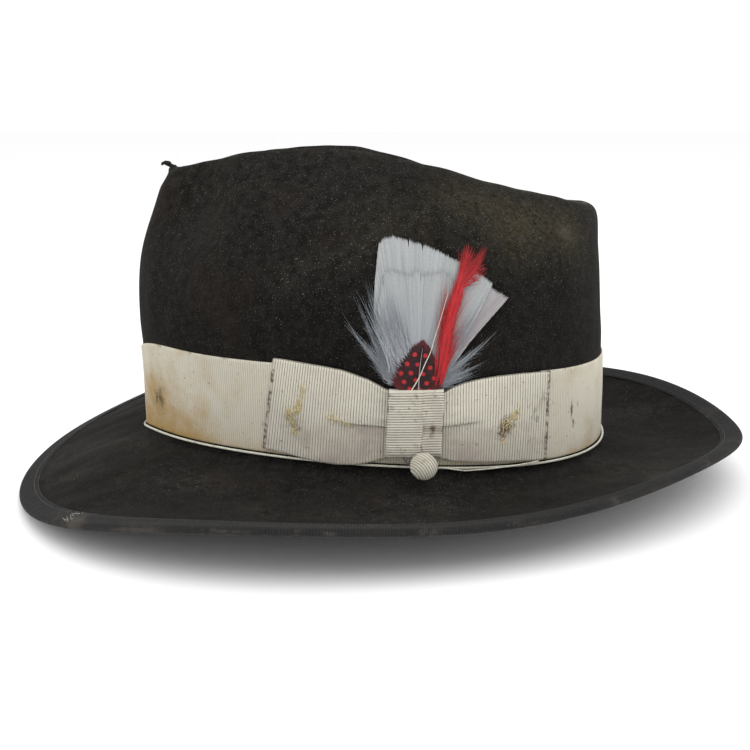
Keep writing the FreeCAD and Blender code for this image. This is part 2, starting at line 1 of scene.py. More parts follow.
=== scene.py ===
import math
import bpy
import numpy as np
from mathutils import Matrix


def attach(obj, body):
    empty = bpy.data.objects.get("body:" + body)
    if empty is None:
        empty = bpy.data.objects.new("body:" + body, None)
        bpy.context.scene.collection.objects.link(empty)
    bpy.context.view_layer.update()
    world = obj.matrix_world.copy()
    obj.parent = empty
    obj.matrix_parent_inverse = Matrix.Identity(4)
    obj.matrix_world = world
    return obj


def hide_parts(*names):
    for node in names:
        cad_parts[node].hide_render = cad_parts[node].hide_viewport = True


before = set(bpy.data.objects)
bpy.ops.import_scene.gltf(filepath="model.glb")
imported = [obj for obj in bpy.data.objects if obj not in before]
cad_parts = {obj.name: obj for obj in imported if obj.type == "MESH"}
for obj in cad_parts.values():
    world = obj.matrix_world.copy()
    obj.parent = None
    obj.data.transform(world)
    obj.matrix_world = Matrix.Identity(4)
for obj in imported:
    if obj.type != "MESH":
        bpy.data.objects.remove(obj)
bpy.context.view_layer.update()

# ---------------------------------------------------------------- hat shape

# lies where the frame has it.
SHIFT = np.array([-4.78, 0.0, 27.08])
FELT_T = 1.8
CROWN_N = 1.98
CROWN_TAPER = 0.141
BAND_H = 36.5
BRIM_CX, BRIM_A, BRIM_B, BRIM_N, BRIM_TAPER = 4.55, 159.23, 141.52, 2.102, 0.163
NU = 72
STEP = 360.0 / NU
WALL_V = [0.0, 0.31, 0.386, 0.45, 0.546, 0.645, 0.707, 0.77, 0.83, 0.893, 0.954, 0.985, 1.0]
FRONT_X = [102.7, 103.2, 104.2, 104.4, 104.3, 103.3, 101.6, 99.5, 96.9, 94.8, 92.0, 89.3, 86.0]
REAR_V = [0.0, 0.31, 0.43, 0.53, 0.656, 0.834, 0.93, 0.97, 0.99, 1.0]
REAR_X = [102.7, 102.1, 101.7, 100.9, 100.4, 99.3, 98.7, 97.6, 95.6, 92.5]
SIDE_V = [0.0, 0.31, 0.42, 0.52, 0.61, 0.70, 0.78, 0.85, 0.91, 0.955, 0.985, 1.0]
SIDE_Y = [85.2, 84.6, 83.6, 81.6, 78.6, 74.6, 69.0, 61.8, 53.6, 46.6, 41.2, 37.5]
RIDGE_X = [-96.0, -89.0, -85.0, -76.0, -66.1, -56.2, -46.4, -36.6, -26.8, -17.1, -7.3,
           2.4, 12.1, 21.9, 31.6, 46.3, 56.1, 65.9, 75.7, 85.6, 92.0, 98.0]
RIDGE_Z = [106.0, 107.0, 107.9, 109.9, 112.0, 114.4, 115.8, 116.6, 117.0, 117.0, 116.4,
           114.9, 113.0, 111.0, 108.6, 104.6, 102.2, 99.8, 97.3, 94.8, 92.9, 91.6]
FLOOR_X = [-95.0, -84.0, -74.0, -64.0, -50.0, -30.0, -10.0, 10.0, 30.0, 50.0, 70.0, 84.0, 98.0]
FLOOR_Z = [107.5, 107.0, 104.5, 100.0, 95.5, 92.5, 91.0, 89.8, 87.6, 84.6, 81.8, 81.0, 82.0]


def interp(x, xs, ys):
    if x <= xs[0]:
        return ys[0]
    if x >= xs[-1]:
        return ys[-1]
    i = 0
    while xs[i + 1] < x:
        i += 1
    n = len(xs)

    def slope(k):
        return (ys[k + 1] - ys[k]) / (xs[k + 1] - xs[k])

    def tangent(k):
        if k == 0:
            return slope(0)
        if k == n - 1:
            return slope(n - 2)
        a, b = slope(k - 1), slope(k)
        return 0.0 if a * b <= 0 else 2 * a * b / (a + b)

    h = xs[i + 1] - xs[i]
    t = (x - xs[i]) / h
    m0, m1 = tangent(i) * h, tangent(i + 1) * h
    return ((2 * t ** 3 - 3 * t ** 2 + 1) * ys[i] + (t ** 3 - 2 * t ** 2 + t) * m0
            + (-2 * t ** 3 + 3 * t ** 2) * ys[i + 1] + (t ** 3 - t ** 2) * m1)


def sm(t):
    t = np.clip(t, 0.0, 1.0)
    return t * t * (3 - 2 * t)


def mix(a, b, t):
    return a + (b - a) * t


def power(v, n):
    return math.copysign(abs(v) ** (2.0 / n), v)


def front_angle(p):
    d = (p - 180.0) % 360.0
    return min(d, 360.0 - d)


def band_low(p):
    c = power(math.cos(math.radians(p)), CROWN_N)
    return -2.522 * c - 5.017 * c * c - 4.6 * math.exp(-(front_angle(p) / 17.0) ** 2)


def band_high(p):
    d = front_angle(p)
    return band_low(p) + BAND_H - 1.4 * math.exp(-(d / 14.0) ** 2) + 0.9 * math.exp(-((d - 32.0) / 14.0) ** 2)


def crown_xy(p, v):
    a = math.radians(p)
    c, s = power(math.cos(a), CROWN_N), power(math.sin(a), CROWN_N)
    xf = interp(v, WALL_V, FRONT_X)
    xr = interp(v, REAR_V, REAR_X)
    x = 0.5 * (xr - xf) + 0.5 * (xr + xf) * c
    k = mix(CROWN_TAPER, 0.28, float(sm((v - 0.35) / 0.65)))
    y = interp(v, SIDE_V, SIDE_Y) * s * (1 + k * c)
    return x, y


def ridge_z(x, y):
    z = interp(x, RIDGE_X, RIDGE_Z)
    if y > 0:
        low = mix(1.6, 5.4, float(sm((x + 5.0) / 55.0))) * float(sm((97.0 - x) / 22.0))
        z -= low * float(sm(y / 22.0))
    return z


def crown_point(p, v):
    x, y = crown_xy(p, v)
    xr, yr = crown_xy(p, 1.0)
    lo = band_low(p)
    z = lo + (ridge_z(xr, yr) - lo) * v
    q = math.exp(-((front_angle(p) - 37.0) / 15.0) ** 2 - ((v - 0.80) / 0.15) ** 2)
    a = math.radians(p)
    x += 8.5 * q * 0.75
    y -= 8.5 * q * 0.9 * (1 if math.sin(a) > 0 else -1)
    return np.array([x, y, z])


def top_point(p, r):
    x1, y1 = crown_xy(p, 1.0)
    x, y = mix(8.0, x1, r), y1 * r
    w = float(sm((r - 0.28) / 0.72))
    z = mix(interp(x, FLOOR_X, FLOOR_Z), ridge_z(x1, y1), w)
    return np.array([x, y, z])


def brim_edge(p):
    a = math.radians(p)
    c, s = math.cos(a), math.sin(a)
    x = BRIM_CX + BRIM_A * power(c, BRIM_N)
    y = BRIM_B * power(s, BRIM_N) * (1 - BRIM_TAPER * c)
    z = (-9.86 + 9.388 * c - 4.594 * math.cos(2 * a) + 2.241 * math.cos(3 * a)
         - 0.888 * math.cos(4 * a) - 1.928 * math.cos(5 * a))
    return np.array([x, y, z])


def brim_point(p, t):
    w, e = crown_point(p, 0.0), brim_edge(p)
    x, y = mix(w[0], e[0], t), mix(w[1], e[1], t)
    sag = mix(-1.5, 4.2, float(sm((front_angle(p) - 25.0) / 55.0)))
    z = mix(band_low(p) - 3.6, e[2], t) - sag * math.sin(math.pi * min(1.0, t) ** 0.9)
    return np.array([x, y, z])


TOP_R = [0.1, 0.2, 0.3, 0.4, 0.5, 0.6, 0.7, 0.79, 0.87, 0.93, 0.97]
WALL_ROWS = [1.0, 0.987, 0.968, 0.94, 0.905, 0.86, 0.81, 0.75, 0.69, 0.62, 0.55, 0.48,
             0.41, 0.34, 0.26, 0.18, 0.11, 0.055, 0.02]
BRIM_ROWS = [0.0, 0.055, 0.13, 0.22, 0.33, 0.44, 0.55, 0.66, 0.76, 0.85, 0.92, 0.965]
ANG = [j * STEP for j in range(NU)]


def unit(a):
    return a / np.maximum(1e-12, np.linalg.norm(a, axis=-1, keepdims=True))


def build_net():
    pole = top_point(0.0, 0.0)
    rows = [[top_point(p, r) for p in ANG] for r in TOP_R]
    rows += [[crown_point(p, v) for p in ANG] for v in WALL_ROWS]
    rows.append([crown_point(p, 0.0) - np.array([0, 0, 0.6]) for p in ANG])
    rows += [[brim_point(p, t) for p in ANG] for t in BRIM_ROWS]
    rows.append([brim_point(p, 1.0 - 0.55 / 60.0) for p in ANG])
    rows = np.array(rows)
    above = np.concatenate([np.broadcast_to(pole, (1, NU, 3)), rows[:-1]])
    below = np.concatenate([rows[1:], rows[-1:]])
    n = unit(np.cross(np.roll(rows, -1, 1) - np.roll(rows, 1, 1), below - above))
    if n[3, 0, 2] < 0:
        n = -n
    inner = rows - n * FELT_T
    e = np.array([brim_edge(p) for p in ANG])
    d = e - rows[-2]
    d[:, 2] = 0
    edge = (rows[-1] + inner[-1]) * 0.5 + unit(d) * 0.9
    cap = lambda q: np.broadcast_to(q, (1, NU, 3))
    net = np.concatenate([cap(pole), rows, edge[None], inner[::-1], cap(pole - np.array([0, 0, FELT_T]))])
    return net, 1 + len(rows)


NET, N_OUT = build_net()
V_CREST = float(len(TOP_R))
V_BREAK = V_CREST + len(WALL_ROWS)
V_EDGE = float(N_OUT) - 1.0
V_LAST = float(len(NET) - 3)


def clamped_basis(v, n):
    """Span index and the four cubic basis values for a clamped uniform knot row."""
    top = n - 3
    v = np.clip(v, 0.0, top)
    k = np.minimum(np.floor(v).astype(int), top - 1)
    knots = np.concatenate([[0, 0, 0], np.arange(top + 1), [top, top, top]]).astype(float)
    i = k + 3
    N = np.zeros(v.shape + (4,))
    N[..., 0] = 1.0
    left, right = np.zeros(v.shape + (4,)), np.zeros(v.shape + (4,))
    for j in range(1, 4):
        left[..., j] = v - knots[i + 1 - j]
        right[..., j] = knots[i + j] - v
        saved = np.zeros(v.shape)
        for r in range(j):
            den = right[..., r + 1] + left[..., j - r]
            t = N[..., r] / np.where(den == 0, 1, den)
            N[..., r] = saved + right[..., r + 1] * t
            saved = left[..., j - r] * t
        N[..., j] = saved
    return k, N


def S0(p, v):
    """Points of the felt's skin for arrays of angle (degrees) and row parameter."""
    p, v = np.broadcast_arrays(np.asarray(p, float), np.asarray(v, float))
    u = (p / STEP) % NU
    i = np.floor(u).astype(int)
    t = (u - i)[..., None]
    U = np.concatenate([(1 - t) ** 3, 3 * t ** 3 - 6 * t ** 2 + 4, -3 * t ** 3 + 3 * t ** 2 + 3 * t + 1, t ** 3], -1) / 6
    k, B = clamped_basis(v, len(NET))
    out = np.zeros(p.shape + (3,))
    for a in range(4):
        row = NET[k + a]
        col = np.zeros(p.shape + (3,))
        for b in range(4):
            idx = (i - 1 + b) % NU
            col += U[..., b:b + 1] * np.take_along_axis(row, idx[..., None, None], axis=-2)[..., 0, :]
        out += B[..., a:a + 1] * col
    return out


def N0(p, v):
    h = 0.02
    vv = np.clip(v, 0.03, V_LAST - 0.03)
    du = S0(p + h * STEP, vv) - S0(p - h * STEP, vv)
    dv = S0(p, vv + h) - S0(p, vv - h)
    return unit(np.cross(du, dv))


SIGN = 1.0 if N0(np.array([50.0]), np.array([8.0]))[0, 2] > 0 else -1.0


def S(p, v, d=0.0):
    q = S0(p, v)
    d = np.asarray(d, float)
    if np.any(d != 0):
        q = q + N0(p, v) * (SIGN * d)[..., None] if d.shape else q + N0(p, v) * SIGN * d
    return q


def wall_v(ps, Z):
    """Row parameters where the columns at angles ps (n) reach heights Z (n, m)."""
    vs = np.linspace(V_CREST + 0.3, V_BREAK + 1.0, 200)
    zz = S0(np.asarray(ps, float)[:, None], vs[None, :])[..., 2]
    out = np.empty(Z.shape)
    for i in range(len(ps)):
        out[i] = np.interp(-Z[i], -zz[i], vs)
    return out


def wall(ps, Z, D):
    """Points over the crown's wall: angles (n), heights (n, m), offset (n, m)."""
    v = wall_v(ps, Z)
    P = np.broadcast_to(np.asarray(ps, float)[:, None], v.shape)
    return S(P, v, np.broadcast_to(D, v.shape))


LOW = np.vectorize(band_low)
HIGH = np.vectorize(band_high)
_ps = np.linspace(196.0, 344.0, 400)
_xs = wall(_ps, np.full((400, 1), 15.0), np.zeros((400, 1)))[:, 0, 0]


def angle_at(x):
    """Angle of the wearer's-left wall where the plan x is reached, near the band."""
    return np.interp(x, _xs, _ps)


# a chart of the wearer's-left wall: y and normal by plan x and height z
CH_X = np.arange(-64.0, 92.1, 1.0)
CH_Z = np.arange(-3.0, 100.1, 1.0)


def chart():
    ps = np.linspace(205.0, 338.0, 500)
    Z = np.broadcast_to(CH_Z, (500, len(CH_Z)))
    v = wall_v(ps, Z)
    P = np.broadcast_to(ps[:, None], v.shape)
    q, n = S0(P, v), N0(P, v) * SIGN
    Y = np.empty((len(CH_X), len(CH_Z)))
    NN = np.empty((len(CH_X), len(CH_Z), 3))
    for j in range(len(CH_Z)):
        Y[:, j] = np.interp(CH_X, q[:, j, 0], q[:, j, 1])
        for c in range(3):
            NN[:, j, c] = np.interp(CH_X, q[:, j, 0], n[:, j, c])
    return Y, unit(NN)


CH_Y, CH_N = chart()


def near(x, z, d):
    """Points raised by d over the wearer's-left wall at plan x and height z."""
    x, z, d = np.broadcast_arrays(np.asarray(x, float), np.asarray(z, float), np.asarray(d, float))
    fx = np.clip(x - CH_X[0], 0, len(CH_X) - 1.001)
    fz = np.clip(z - CH_Z[0], 0, len(CH_Z) - 1.001)
    i, j = fx.astype(int), fz.astype(int)
    a, b = (fx - i), (fz - j)
    w = [(i, j, (1 - a) * (1 - b)), (i + 1, j, a * (1 - b)), (i, j + 1, (1 - a) * b), (i + 1, j + 1, a * b)]
    y = sum(CH_Y[k, l] * c for k, l, c in w)
    n = unit(sum(CH_N[k, l] * c[..., None] for k, l, c in w))
    return np.stack([x, y, z], -1) + n * d[..., None]


# ------------------------------------------------------------- mesh helpers
rng = np.random.default_rng(11)


def quads(n, m, wrap_n=False, wrap_m=False):
    i, j = np.arange(n if wrap_n else n - 1), np.arange(m if wrap_m else m - 1)
    I, J = np.meshgrid(i, j, indexing="ij")
    I2, J2 = (I + 1) % n, (J + 1) % m
    return np.stack([I * m + J, I2 * m + J, I2 * m + J2, I * m + J2], -1).reshape(-1, 4)


def build(name, P, F, mat, body, nodes, attrs=None, uv=None, caps=()):
    """Mesh object from points in millimetres of the fit frame."""
    P = (np.asarray(P, float).reshape(-1, 3) + SHIFT) * 0.001
    me = bpy.data.meshes.new(name)
    faces = np.asarray(F, int).tolist() + [list(c) for c in caps]
    me.from_pydata(P.tolist(), [], faces)
    me.update()
    for key, val in (attrs or {}).items():
        a = me.attributes.new(key, "FLOAT", "POINT")
        a.data.foreach_set("value", np.asarray(val, np.float32).ravel())
    if uv is not None:
        layer = me.uv_layers.new(name="UVMap")
        idx = np.empty(len(me.loops), int)
        me.loops.foreach_get("vertex_index", idx)
        layer.data.foreach_set("uv", np.asarray(uv, np.float32).reshape(-1, 2)[idx].ravel())
    me.polygons.foreach_set("use_smooth", np.ones(len(me.polygons), bool))
    me.materials.append(mat)
    o = bpy.data.objects.new(name, me)
    bpy.context.scene.collection.objects.link(o)
    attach(o, body)
    if nodes:
        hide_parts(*nodes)
    return o


def loop_strip(name, P, mat, body, nodes, attrs=None, uv=None, closed=False):
    """P (n, m, 3): n sections, each a closed loop of m points."""
    n, m = P.shape[:2]
    caps = [] if closed else [list(range(m)), [(n - 1) * m + k for k in range(m)][::-1]]
    return build(name, P, quads(n, m, closed, True), mat, body, nodes, attrs, uv, caps)


def waves(P, amp, size, seed, octaves=3):
    """Smooth repeatable noise of about +-amp at points P (mm), features of the given size."""
    r = np.random.default_rng(seed)
    out = np.zeros(P.shape[:-1])
    total = 0.0
    for o in range(octaves):
        w = 0.55 ** o
        for _ in range(7):
            k = unit(r.normal(size=3)) * (2 * math.pi / size) * (1.75 ** o) * r.uniform(0.6, 1.3)
            out += w * np.sin(P @ k + r.uniform(0, 6.28))
        total += w * 2.0
    return out * amp / total


def gauss(a, c, s):
    return np.exp(-((a - c) / s) ** 2)


def spot(P, c, s):
    return np.exp(-np.sum((P - np.array(c)) ** 2, -1) / (s * s))


# ---------------------------------------------------------------- materials
def srgb(r, g, b):
    f = lambda c: c / 12.92 if c <= 0.04045 else ((c + 0.055) / 1.055) ** 2.4
    return (f(r / 255.0), f(g / 255.0), f(b / 255.0), 1.0)


class Mat:
    def __init__(self, name, rough=0.8, sheen=0.0, sheen_rough=0.5, sheen_tint=None, spec=0.3, trans=0.0):
        self.m = bpy.data.materials.new(name)
        self.m.use_nodes = True
        self.t = self.m.node_tree
        self.b = self.t.nodes["Principled BSDF"]
        self.b.inputs["Roughness"].default_value = rough
        self.b.inputs["Sheen Weight"].default_value = sheen
        self.b.inputs["Sheen Roughness"].default_value = sheen_rough
        if sheen_tint:
            self.b.inputs["Sheen Tint"].default_value = sheen_tint
        self.b.inputs["Specular IOR Level"].default_value = spec
        self.co = self.node("ShaderNodeTexCoord").outputs["Object"]
        self.uv = self.node("ShaderNodeTexCoord").outputs["UV"]

    def node(self, kind, **kw):
        n = self.t.nodes.new(kind)
        for k, v in kw.items():
            setattr(n, k, v)
        return n

    def link(self, a, b):
        self.t.links.new(a, b)

    def put(self, sock, v):
        if hasattr(v, "is_linked") or isinstance(v, bpy.types.NodeSocket):
            self.link(v, sock)
        else:
            sock.default_value = v

    def noise(self, scale, detail=3.0, rough=0.55, vec=None, lo=None, hi=None):
        n = self.node("ShaderNodeTexNoise")
        self.link(vec or self.co, n.inputs["Vector"])
        n.inputs["Scale"].default_value = scale
        n.inputs["Detail"].default_value = detail
        n.inputs["Roughness"].default_value = rough
        out = n.outputs["Fac"]
        return out if lo is None else self.ramp(out, lo, hi)

    def ramp(self, v, lo, hi, a=0.0, b=1.0):
        n = self.node("ShaderNodeMapRange")
        n.interpolation_type = "SMOOTHSTEP"
        self.link(v, n.inputs["Value"])
        for k, x in (("From Min", lo), ("From Max", hi), ("To Min", a), ("To Max", b)):
            n.inputs[k].default_value = x
        return n.outputs["Result"]

    def attr(self, name):
        return self.node("ShaderNodeAttribute", attribute_name=name).outputs["Fac"]

    def math(self, op, a, b=0.5):
        n = self.node("ShaderNodeMath", operation=op)
        self.put(n.inputs[0], a)
        self.put(n.inputs[1], b)
        return n.outputs[0]

    def mix(self, f, a, b, mode="MIX"):
        n = self.node("ShaderNodeMix", data_type="RGBA", blend_type=mode)
        self.put(n.inputs[0], f)
        self.put(n.inputs[6], a)
        self.put(n.inputs[7], b)
        return n.outputs[2]

    def stretch(self, sx, sy, sz, vec=None):
        n = self.node("ShaderNodeMapping")
        self.link(vec or self.co, n.inputs["Vector"])
        n.inputs["Scale"].default_value = (sx, sy, sz)
        return n.outputs["Vector"]

    def bump(self, height, strength, dist, prev=None):
        n = self.node("ShaderNodeBump")
        n.inputs["Strength"].default_value = strength
        n.inputs["Distance"].default_value = dist
        self.link(height, n.inputs["Height"])
        if prev is not None:
            self.link(prev, n.inputs["Normal"])
        return n.outputs["Normal"]

    def done(self, colour, normal=None, rough=None):
        self.put(self.b.inputs["Base Color"], colour)
        if normal is not None:
            self.link(normal, self.b.inputs["Normal"])
        if rough is not None:
            self.link(rough, self.b.inputs["Roughness"])
        return self.m


def felt_material():
    m = Mat("felt_black", 0.95, 0.025, 0.5, (0.75, 0.72, 0.66, 1), 0.05)
    big, mid, fine = m.noise(38, 4), m.noise(260, 4, 0.6), m.noise(1700, 2, 0.7)
    base = m.mix(m.ramp(big, 0.35, 0.68), srgb(13, 12.6, 12.4), srgb(18, 17.5, 17))
    base = m.mix(m.ramp(mid, 0.40, 0.72), base, srgb(24, 23.2, 22.3))
    # the nap is combed fibres: light hairs over a darker ground
    hair = m.noise(900, 3, 0.7, m.stretch(1.0, 1.0, 0.35), 0.56, 0.74)
    base = m.mix(m.math("MULTIPLY", hair, 0.30), base, srgb(54, 52, 49))
    # fine dust everywhere, thicker where the hat has been handled
    speck = m.noise(2300, 1, 0.5, None, 0.64, 0.74)
    dust = m.math("ADD", m.math("MULTIPLY", m.attr("dust"), m.ramp(m.noise(420, 5, 0.75), 0.38, 0.62)), 0.06)
    base = m.mix(m.math("MULTIPLY", m.math("MULTIPLY", speck, m.math("ADD", dust, 0.10)), 0.9), base, srgb(132, 127, 112))
    olive = m.math("MULTIPLY", m.attr("olive"), m.ramp(m.noise(600, 5, 0.8), 0.36, 0.66))
    base = m.mix(m.math("MULTIPLY", olive, 0.60), base, srgb(70, 63, 42))
    base = m.mix(m.math("MULTIPLY", m.math("MULTIPLY", m.attr("dust"), m.ramp(mid, 0.3, 0.6)), 0.16), base, srgb(76, 73, 67))
    base = m.mix(m.math("MULTIPLY", m.attr("brown"), m.ramp(m.noise(300, 4, 0.7), 0.3, 0.6, 0.2, 1.0)), base, srgb(40, 32, 25))
    base = m.mix(m.math("MULTIPLY", m.attr("wear"), m.ramp(m.noise(700, 4, 0.7), 0.34, 0.6, 0.25, 1.0)), base, srgb(84, 78, 68))
    n = m.bump(mid, 0.30, 0.0006)
    n = m.bump(hair, 0.22, 0.0002, n)
    n = m.bump(fine, 0.35, 0.00012, n)
    return m.done(base, n, m.ramp(mid, 0.2, 0.8, 0.86, 1.0))


def ribbon_material(name, light, dark, stain, grime, groove=0.9, sheen=0.12):
    """Corded ribbon: weft cords under fine warp threads, painted shade in the grooves."""
    m = Mat(name, 0.72, sheen, 0.45, None, 0.25)
    rib = m.attr("rib")
    tone = m.noise(26, 4, 0.6)
    base = m.mix(m.ramp(tone, 0.3, 0.7), light, tuple(c * 0.88 for c in light[:3]) + (1,))
    warp = m.node("ShaderNodeTexWave", wave_type="BANDS", bands_direction="Y", wave_profile="SIN")
    m.link(m.uv, warp.inputs["Vector"])
    warp.inputs["Scale"].default_value = 9.0
    warp.inputs["Distortion"].default_value = 0.6
    warp.inputs["Detail"].default_value = 1.0
    thread = warp.outputs["Fac"]
    base = m.mix(m.math("MULTIPLY", m.ramp(thread, 0.1, 0.9, 1.0, 0.0), 0.12), base, dark)
    pile = m.noise(900, 3, 0.7)
    # painted shade: the grooves between the cords are darkened toward the dark colour
    base = m.mix(m.math("MULTIPLY", m.ramp(rib, 0.12, 0.80, 1.0, 0.0), m.ramp(pile, 0.2, 0.75, groove, groove * 0.55)), base, dark)
    st = m.ramp(m.math("ADD", m.attr("stain"), m.math("MULTIPLY", m.math("SUBTRACT", m.noise(120, 5, 0.7), 0.5), 0.8)), 0.05, 0.95)
    base = m.mix(st, base, stain)
    gr = m.ramp(m.math("ADD", m.attr("grime"), m.math("MULTIPLY", m.math("SUBTRACT", m.noise(330, 5, 0.75), 0.5), 1.3)), 0.30, 0.90, 0.0, 0.92)
    base = m.mix(gr, base, grime)
    speck = m.math("MULTIPLY", m.noise(760, 2, 0.6, None, 0.66, 0.73), 0.55)
    base = m.mix(speck, base, grime)
    n = m.bump(thread, 0.35, 0.00008)
    n = m.bump(pile, 0.30, 0.00010, n)
    return m.done(base, n, m.ramp(pile, 0.2, 0.8, 0.62, 0.86))


def fibre_material(name, root, tip, spark, rough=0.55, sheen=0.2, scale=1400, thin=0.0):
    """Feather barbs: colour runs from root to tip, with light and dark barbs."""
    m = Mat(name, rough, sheen, 0.35, None, 0.35)
    base = m.mix(m.attr("along"), root, tip)
    base = m.mix(m.math("MULTIPLY", m.attr("tone"), 1.0), base, spark)
    f = m.noise(scale, 3, 0.7)
    base = m.mix(m.math("MULTIPLY", m.ramp(f, 0.35, 0.7), 0.25), base, spark)
    if thin:
        m.b.inputs["Transmission Weight"].default_value = 0.0
        m.b.inputs["Subsurface Weight"].default_value = thin
        m.b.inputs["Subsurface Radius"].default_value = (0.002, 0.002, 0.002)
        m.b.inputs["Subsurface Scale"].default_value = 0.4
    return m.done(base, m.bump(f, 0.25, 0.0001))


def leather_material():
    m = Mat("sweatband_leather", 0.45, 0.0, 0.5, None, 0.5)
    big, grain = m.noise(30, 5, 0.6), m.node("ShaderNodeTexVoronoi", feature="DISTANCE_TO_EDGE")
    m.link(m.co, grain.inputs["Vector"])
    grain.inputs["Scale"].default_value = 1100.0
    base = m.mix(m.ramp(big, 0.3, 0.7), srgb(120, 78, 44), srgb(84, 52, 30))
    base = m.mix(m.ramp(grain.outputs["Distance"], 0.0, 0.12, 0.45, 0.0), base, srgb(48, 29, 17))
    base = m.mix(m.math("MULTIPLY", m.attr("edge"), 0.6), base, srgb(50, 32, 20))
    n = m.bump(m.ramp(grain.outputs["Distance"], 0.0, 0.2), 0.35, 0.00015)
    return m.done(base, m.bump(m.noise(200, 4), 0.2, 0.0004, n), m.ramp(big, 0.3, 0.7, 0.36, 0.6))


def satin_material():
    m = Mat("lining_satin", 0.34, 0.15, 0.3, None, 0.5)
    weave = m.noise(2600, 2, 0.5, m.stretch(1, 1, 0.08))
    big = m.noise(22, 4, 0.6)
    base = m.mix(m.ramp(big, 0.3, 0.7), srgb(176, 166, 144), srgb(150, 138, 114))
    base = m.mix(m.math("MULTIPLY", m.ramp(weave, 0.3, 0.7), 0.25), base, srgb(205, 198, 180))
    base = m.mix(m.math("MULTIPLY", m.noise(60, 5, 0.7, None, 0.58, 0.75), 0.4), base, srgb(120, 100, 72))
    return m.done(base, m.bump(weave, 0.2, 0.0001), m.ramp(weave, 0.2, 0.8, 0.28, 0.45))


def thread_material(name, a, b, c=None):
    m = Mat(name, 0.7, 0.2, 0.4, None, 0.3)
    tw = m.noise(1500, 3, 0.7)
    base = m.mix(m.ramp(tw, 0.3, 0.7), a, b)
    base = m.mix(m.math("MULTIPLY", m.noise(90, 4, 0.7, None, 0.5, 0.72), 0.5), base, c or b)
    return m.done(base, m.bump(tw, 0.5, 0.0001))


FELT = felt_material()
CREAM, CREAM_DARK = srgb(208, 203, 187), srgb(96, 88, 74)
RIBBON = ribbon_material("ribbon_cream", CREAM, CREAM_DARK, srgb(160, 132, 80), srgb(66, 54, 34), 0.50)
# the bow's greyish stain colour also paints shade over the lower half of the wings and the knot
BOW = ribbon_material("ribbon_bow", srgb(208, 203, 188), srgb(62, 56, 49), srgb(158, 148, 138), srgb(70, 57, 38), 0.88)
BINDING = ribbon_material("binding_black", srgb(25, 24, 24), srgb(6, 6, 6), srgb(46, 40, 34), srgb(64, 60, 54), 0.80, 0.06)
COVER = ribbon_material("button_ribbon", srgb(198, 193, 178), srgb(52, 47, 40), srgb(150, 138, 116), srgb(72, 62, 48), 0.92)
CORD = thread_material("trolley_cord_cotton", srgb(214, 212, 200), srgb(176, 172, 154), srgb(126, 114, 90))
TUFT = thread_material("frayed_thread", srgb(222, 210, 170), srgb(194, 176, 126), srgb(104, 84, 52))
STITCH = thread_material("black_thread", srgb(22, 21, 21), srgb(48, 46, 44))
WHITE = thread_material("white_thread", srgb(222, 218, 206), srgb(180, 174, 158))
GREY = fibre_material("feather_grey", srgb(146, 150, 153), srgb(158, 160, 160), srgb(120, 125, 129), thin=0.06)
PINK = fibre_material("feather_pinkish", srgb(146, 138, 140), srgb(156, 153, 154), srgb(122, 114, 118), thin=0.06)
DOWN = fibre_material("feather_down", srgb(156, 160, 165), srgb(150, 155, 160), srgb(100, 105, 111))
REDF = fibre_material("feather_red", srgb(186, 28, 36), srgb(184, 24, 26), srgb(104, 6, 12))
LEATHER = leather_material()
SATIN = satin_material()


def guinea_material():
    m = Mat("feather_guinea", 0.6, 0.15, 0.4, None, 0.3)
    f = m.noise(1500, 3, 0.7)
    ground = m.mix(m.ramp(f, 0.4, 0.75), srgb(20, 7, 10), srgb(70, 8, 16))
    base = m.mix(m.math("MULTIPLY", m.attr("edge"), 0.5), ground, srgb(96, 8, 16))
    base = m.mix(m.math("MULTIPLY", m.attr("dot"), m.ramp(f, 0.25, 0.6, 0.6, 1.0)), base, srgb(178, 34, 38))
    return m.done(base, m.bump(f, 0.3, 0.0001))


def plastic_material():
    m = Mat("button_mould_metal", 0.42, 0, 0.5, None, 0.5)
    m.b.inputs["Metallic"].default_value = 0.85
    f = m.noise(900, 4, 0.6)
    return m.done(m.mix(m.ramp(f, 0.3, 0.7), srgb(120, 116, 108), srgb(84, 78, 68)), m.bump(f, 0.25, 0.0001), m.ramp(f, 0.3, 0.7, 0.32, 0.6))


GUINEA = guinea_material()
MOULD = plastic_material()

# ---------------------------------------------------------------- felt body
NUF = 384
pf = np.arange(NUF) * 360.0 / NUF
va = np.concatenate([np.linspace(0.02, V_CREST, 62), np.linspace(V_CREST, V_BREAK, 84)[1:],
                     np.linspace(V_BREAK, V_EDGE - 1.5, 66)[1:], np.linspace(V_EDGE - 1.5, V_EDGE + 1.5, 21)[1:],
                     np.linspace(V_EDGE + 1.5, 2 * V_EDGE - V_BREAK, 60)[1:],
                     np.linspace(2 * V_EDGE - V_BREAK, V_LAST - 0.02, 100)[1:]])
PP, VV = np.meshgrid(pf, va, indexing="ij")
Q = S(PP, VV)
NQ = N0(PP, VV) * SIGN
outer = VV <= V_EDGE
lowz, highz = LOW(pf)[:, None], HIGH(pf)[:, None]
crown_mask = np.where(outer, sm((Q[..., 2] - highz - 1.5) / 10.0), 0.0) * (VV < V_BREAK)
inner_crown = (VV > 2 * V_EDGE - V_BREAK)
brim_t = np.clip((np.minimum(VV, 2 * V_EDGE - VV) - V_BREAK - 1) / (V_EDGE - V_BREAK - 1), 0, 1)
brim_mask = np.where(inner_crown | (VV < V_BREAK), 0.0, sm(brim_t / 0.25) * (1 - sm((brim_t - 0.66) / 0.16)))
mask = np.clip(crown_mask + brim_mask, 0, 1)
field = waves(Q * np.array([1, 1, 0.6]), 0.34, 34.0, 5, 3)
sideways = np.where(outer, 1.0, -1.0)
Q2 = Q + NQ * (field * mask * sideways * np.where(inner_crown, 0.0, 1.0))[..., None]
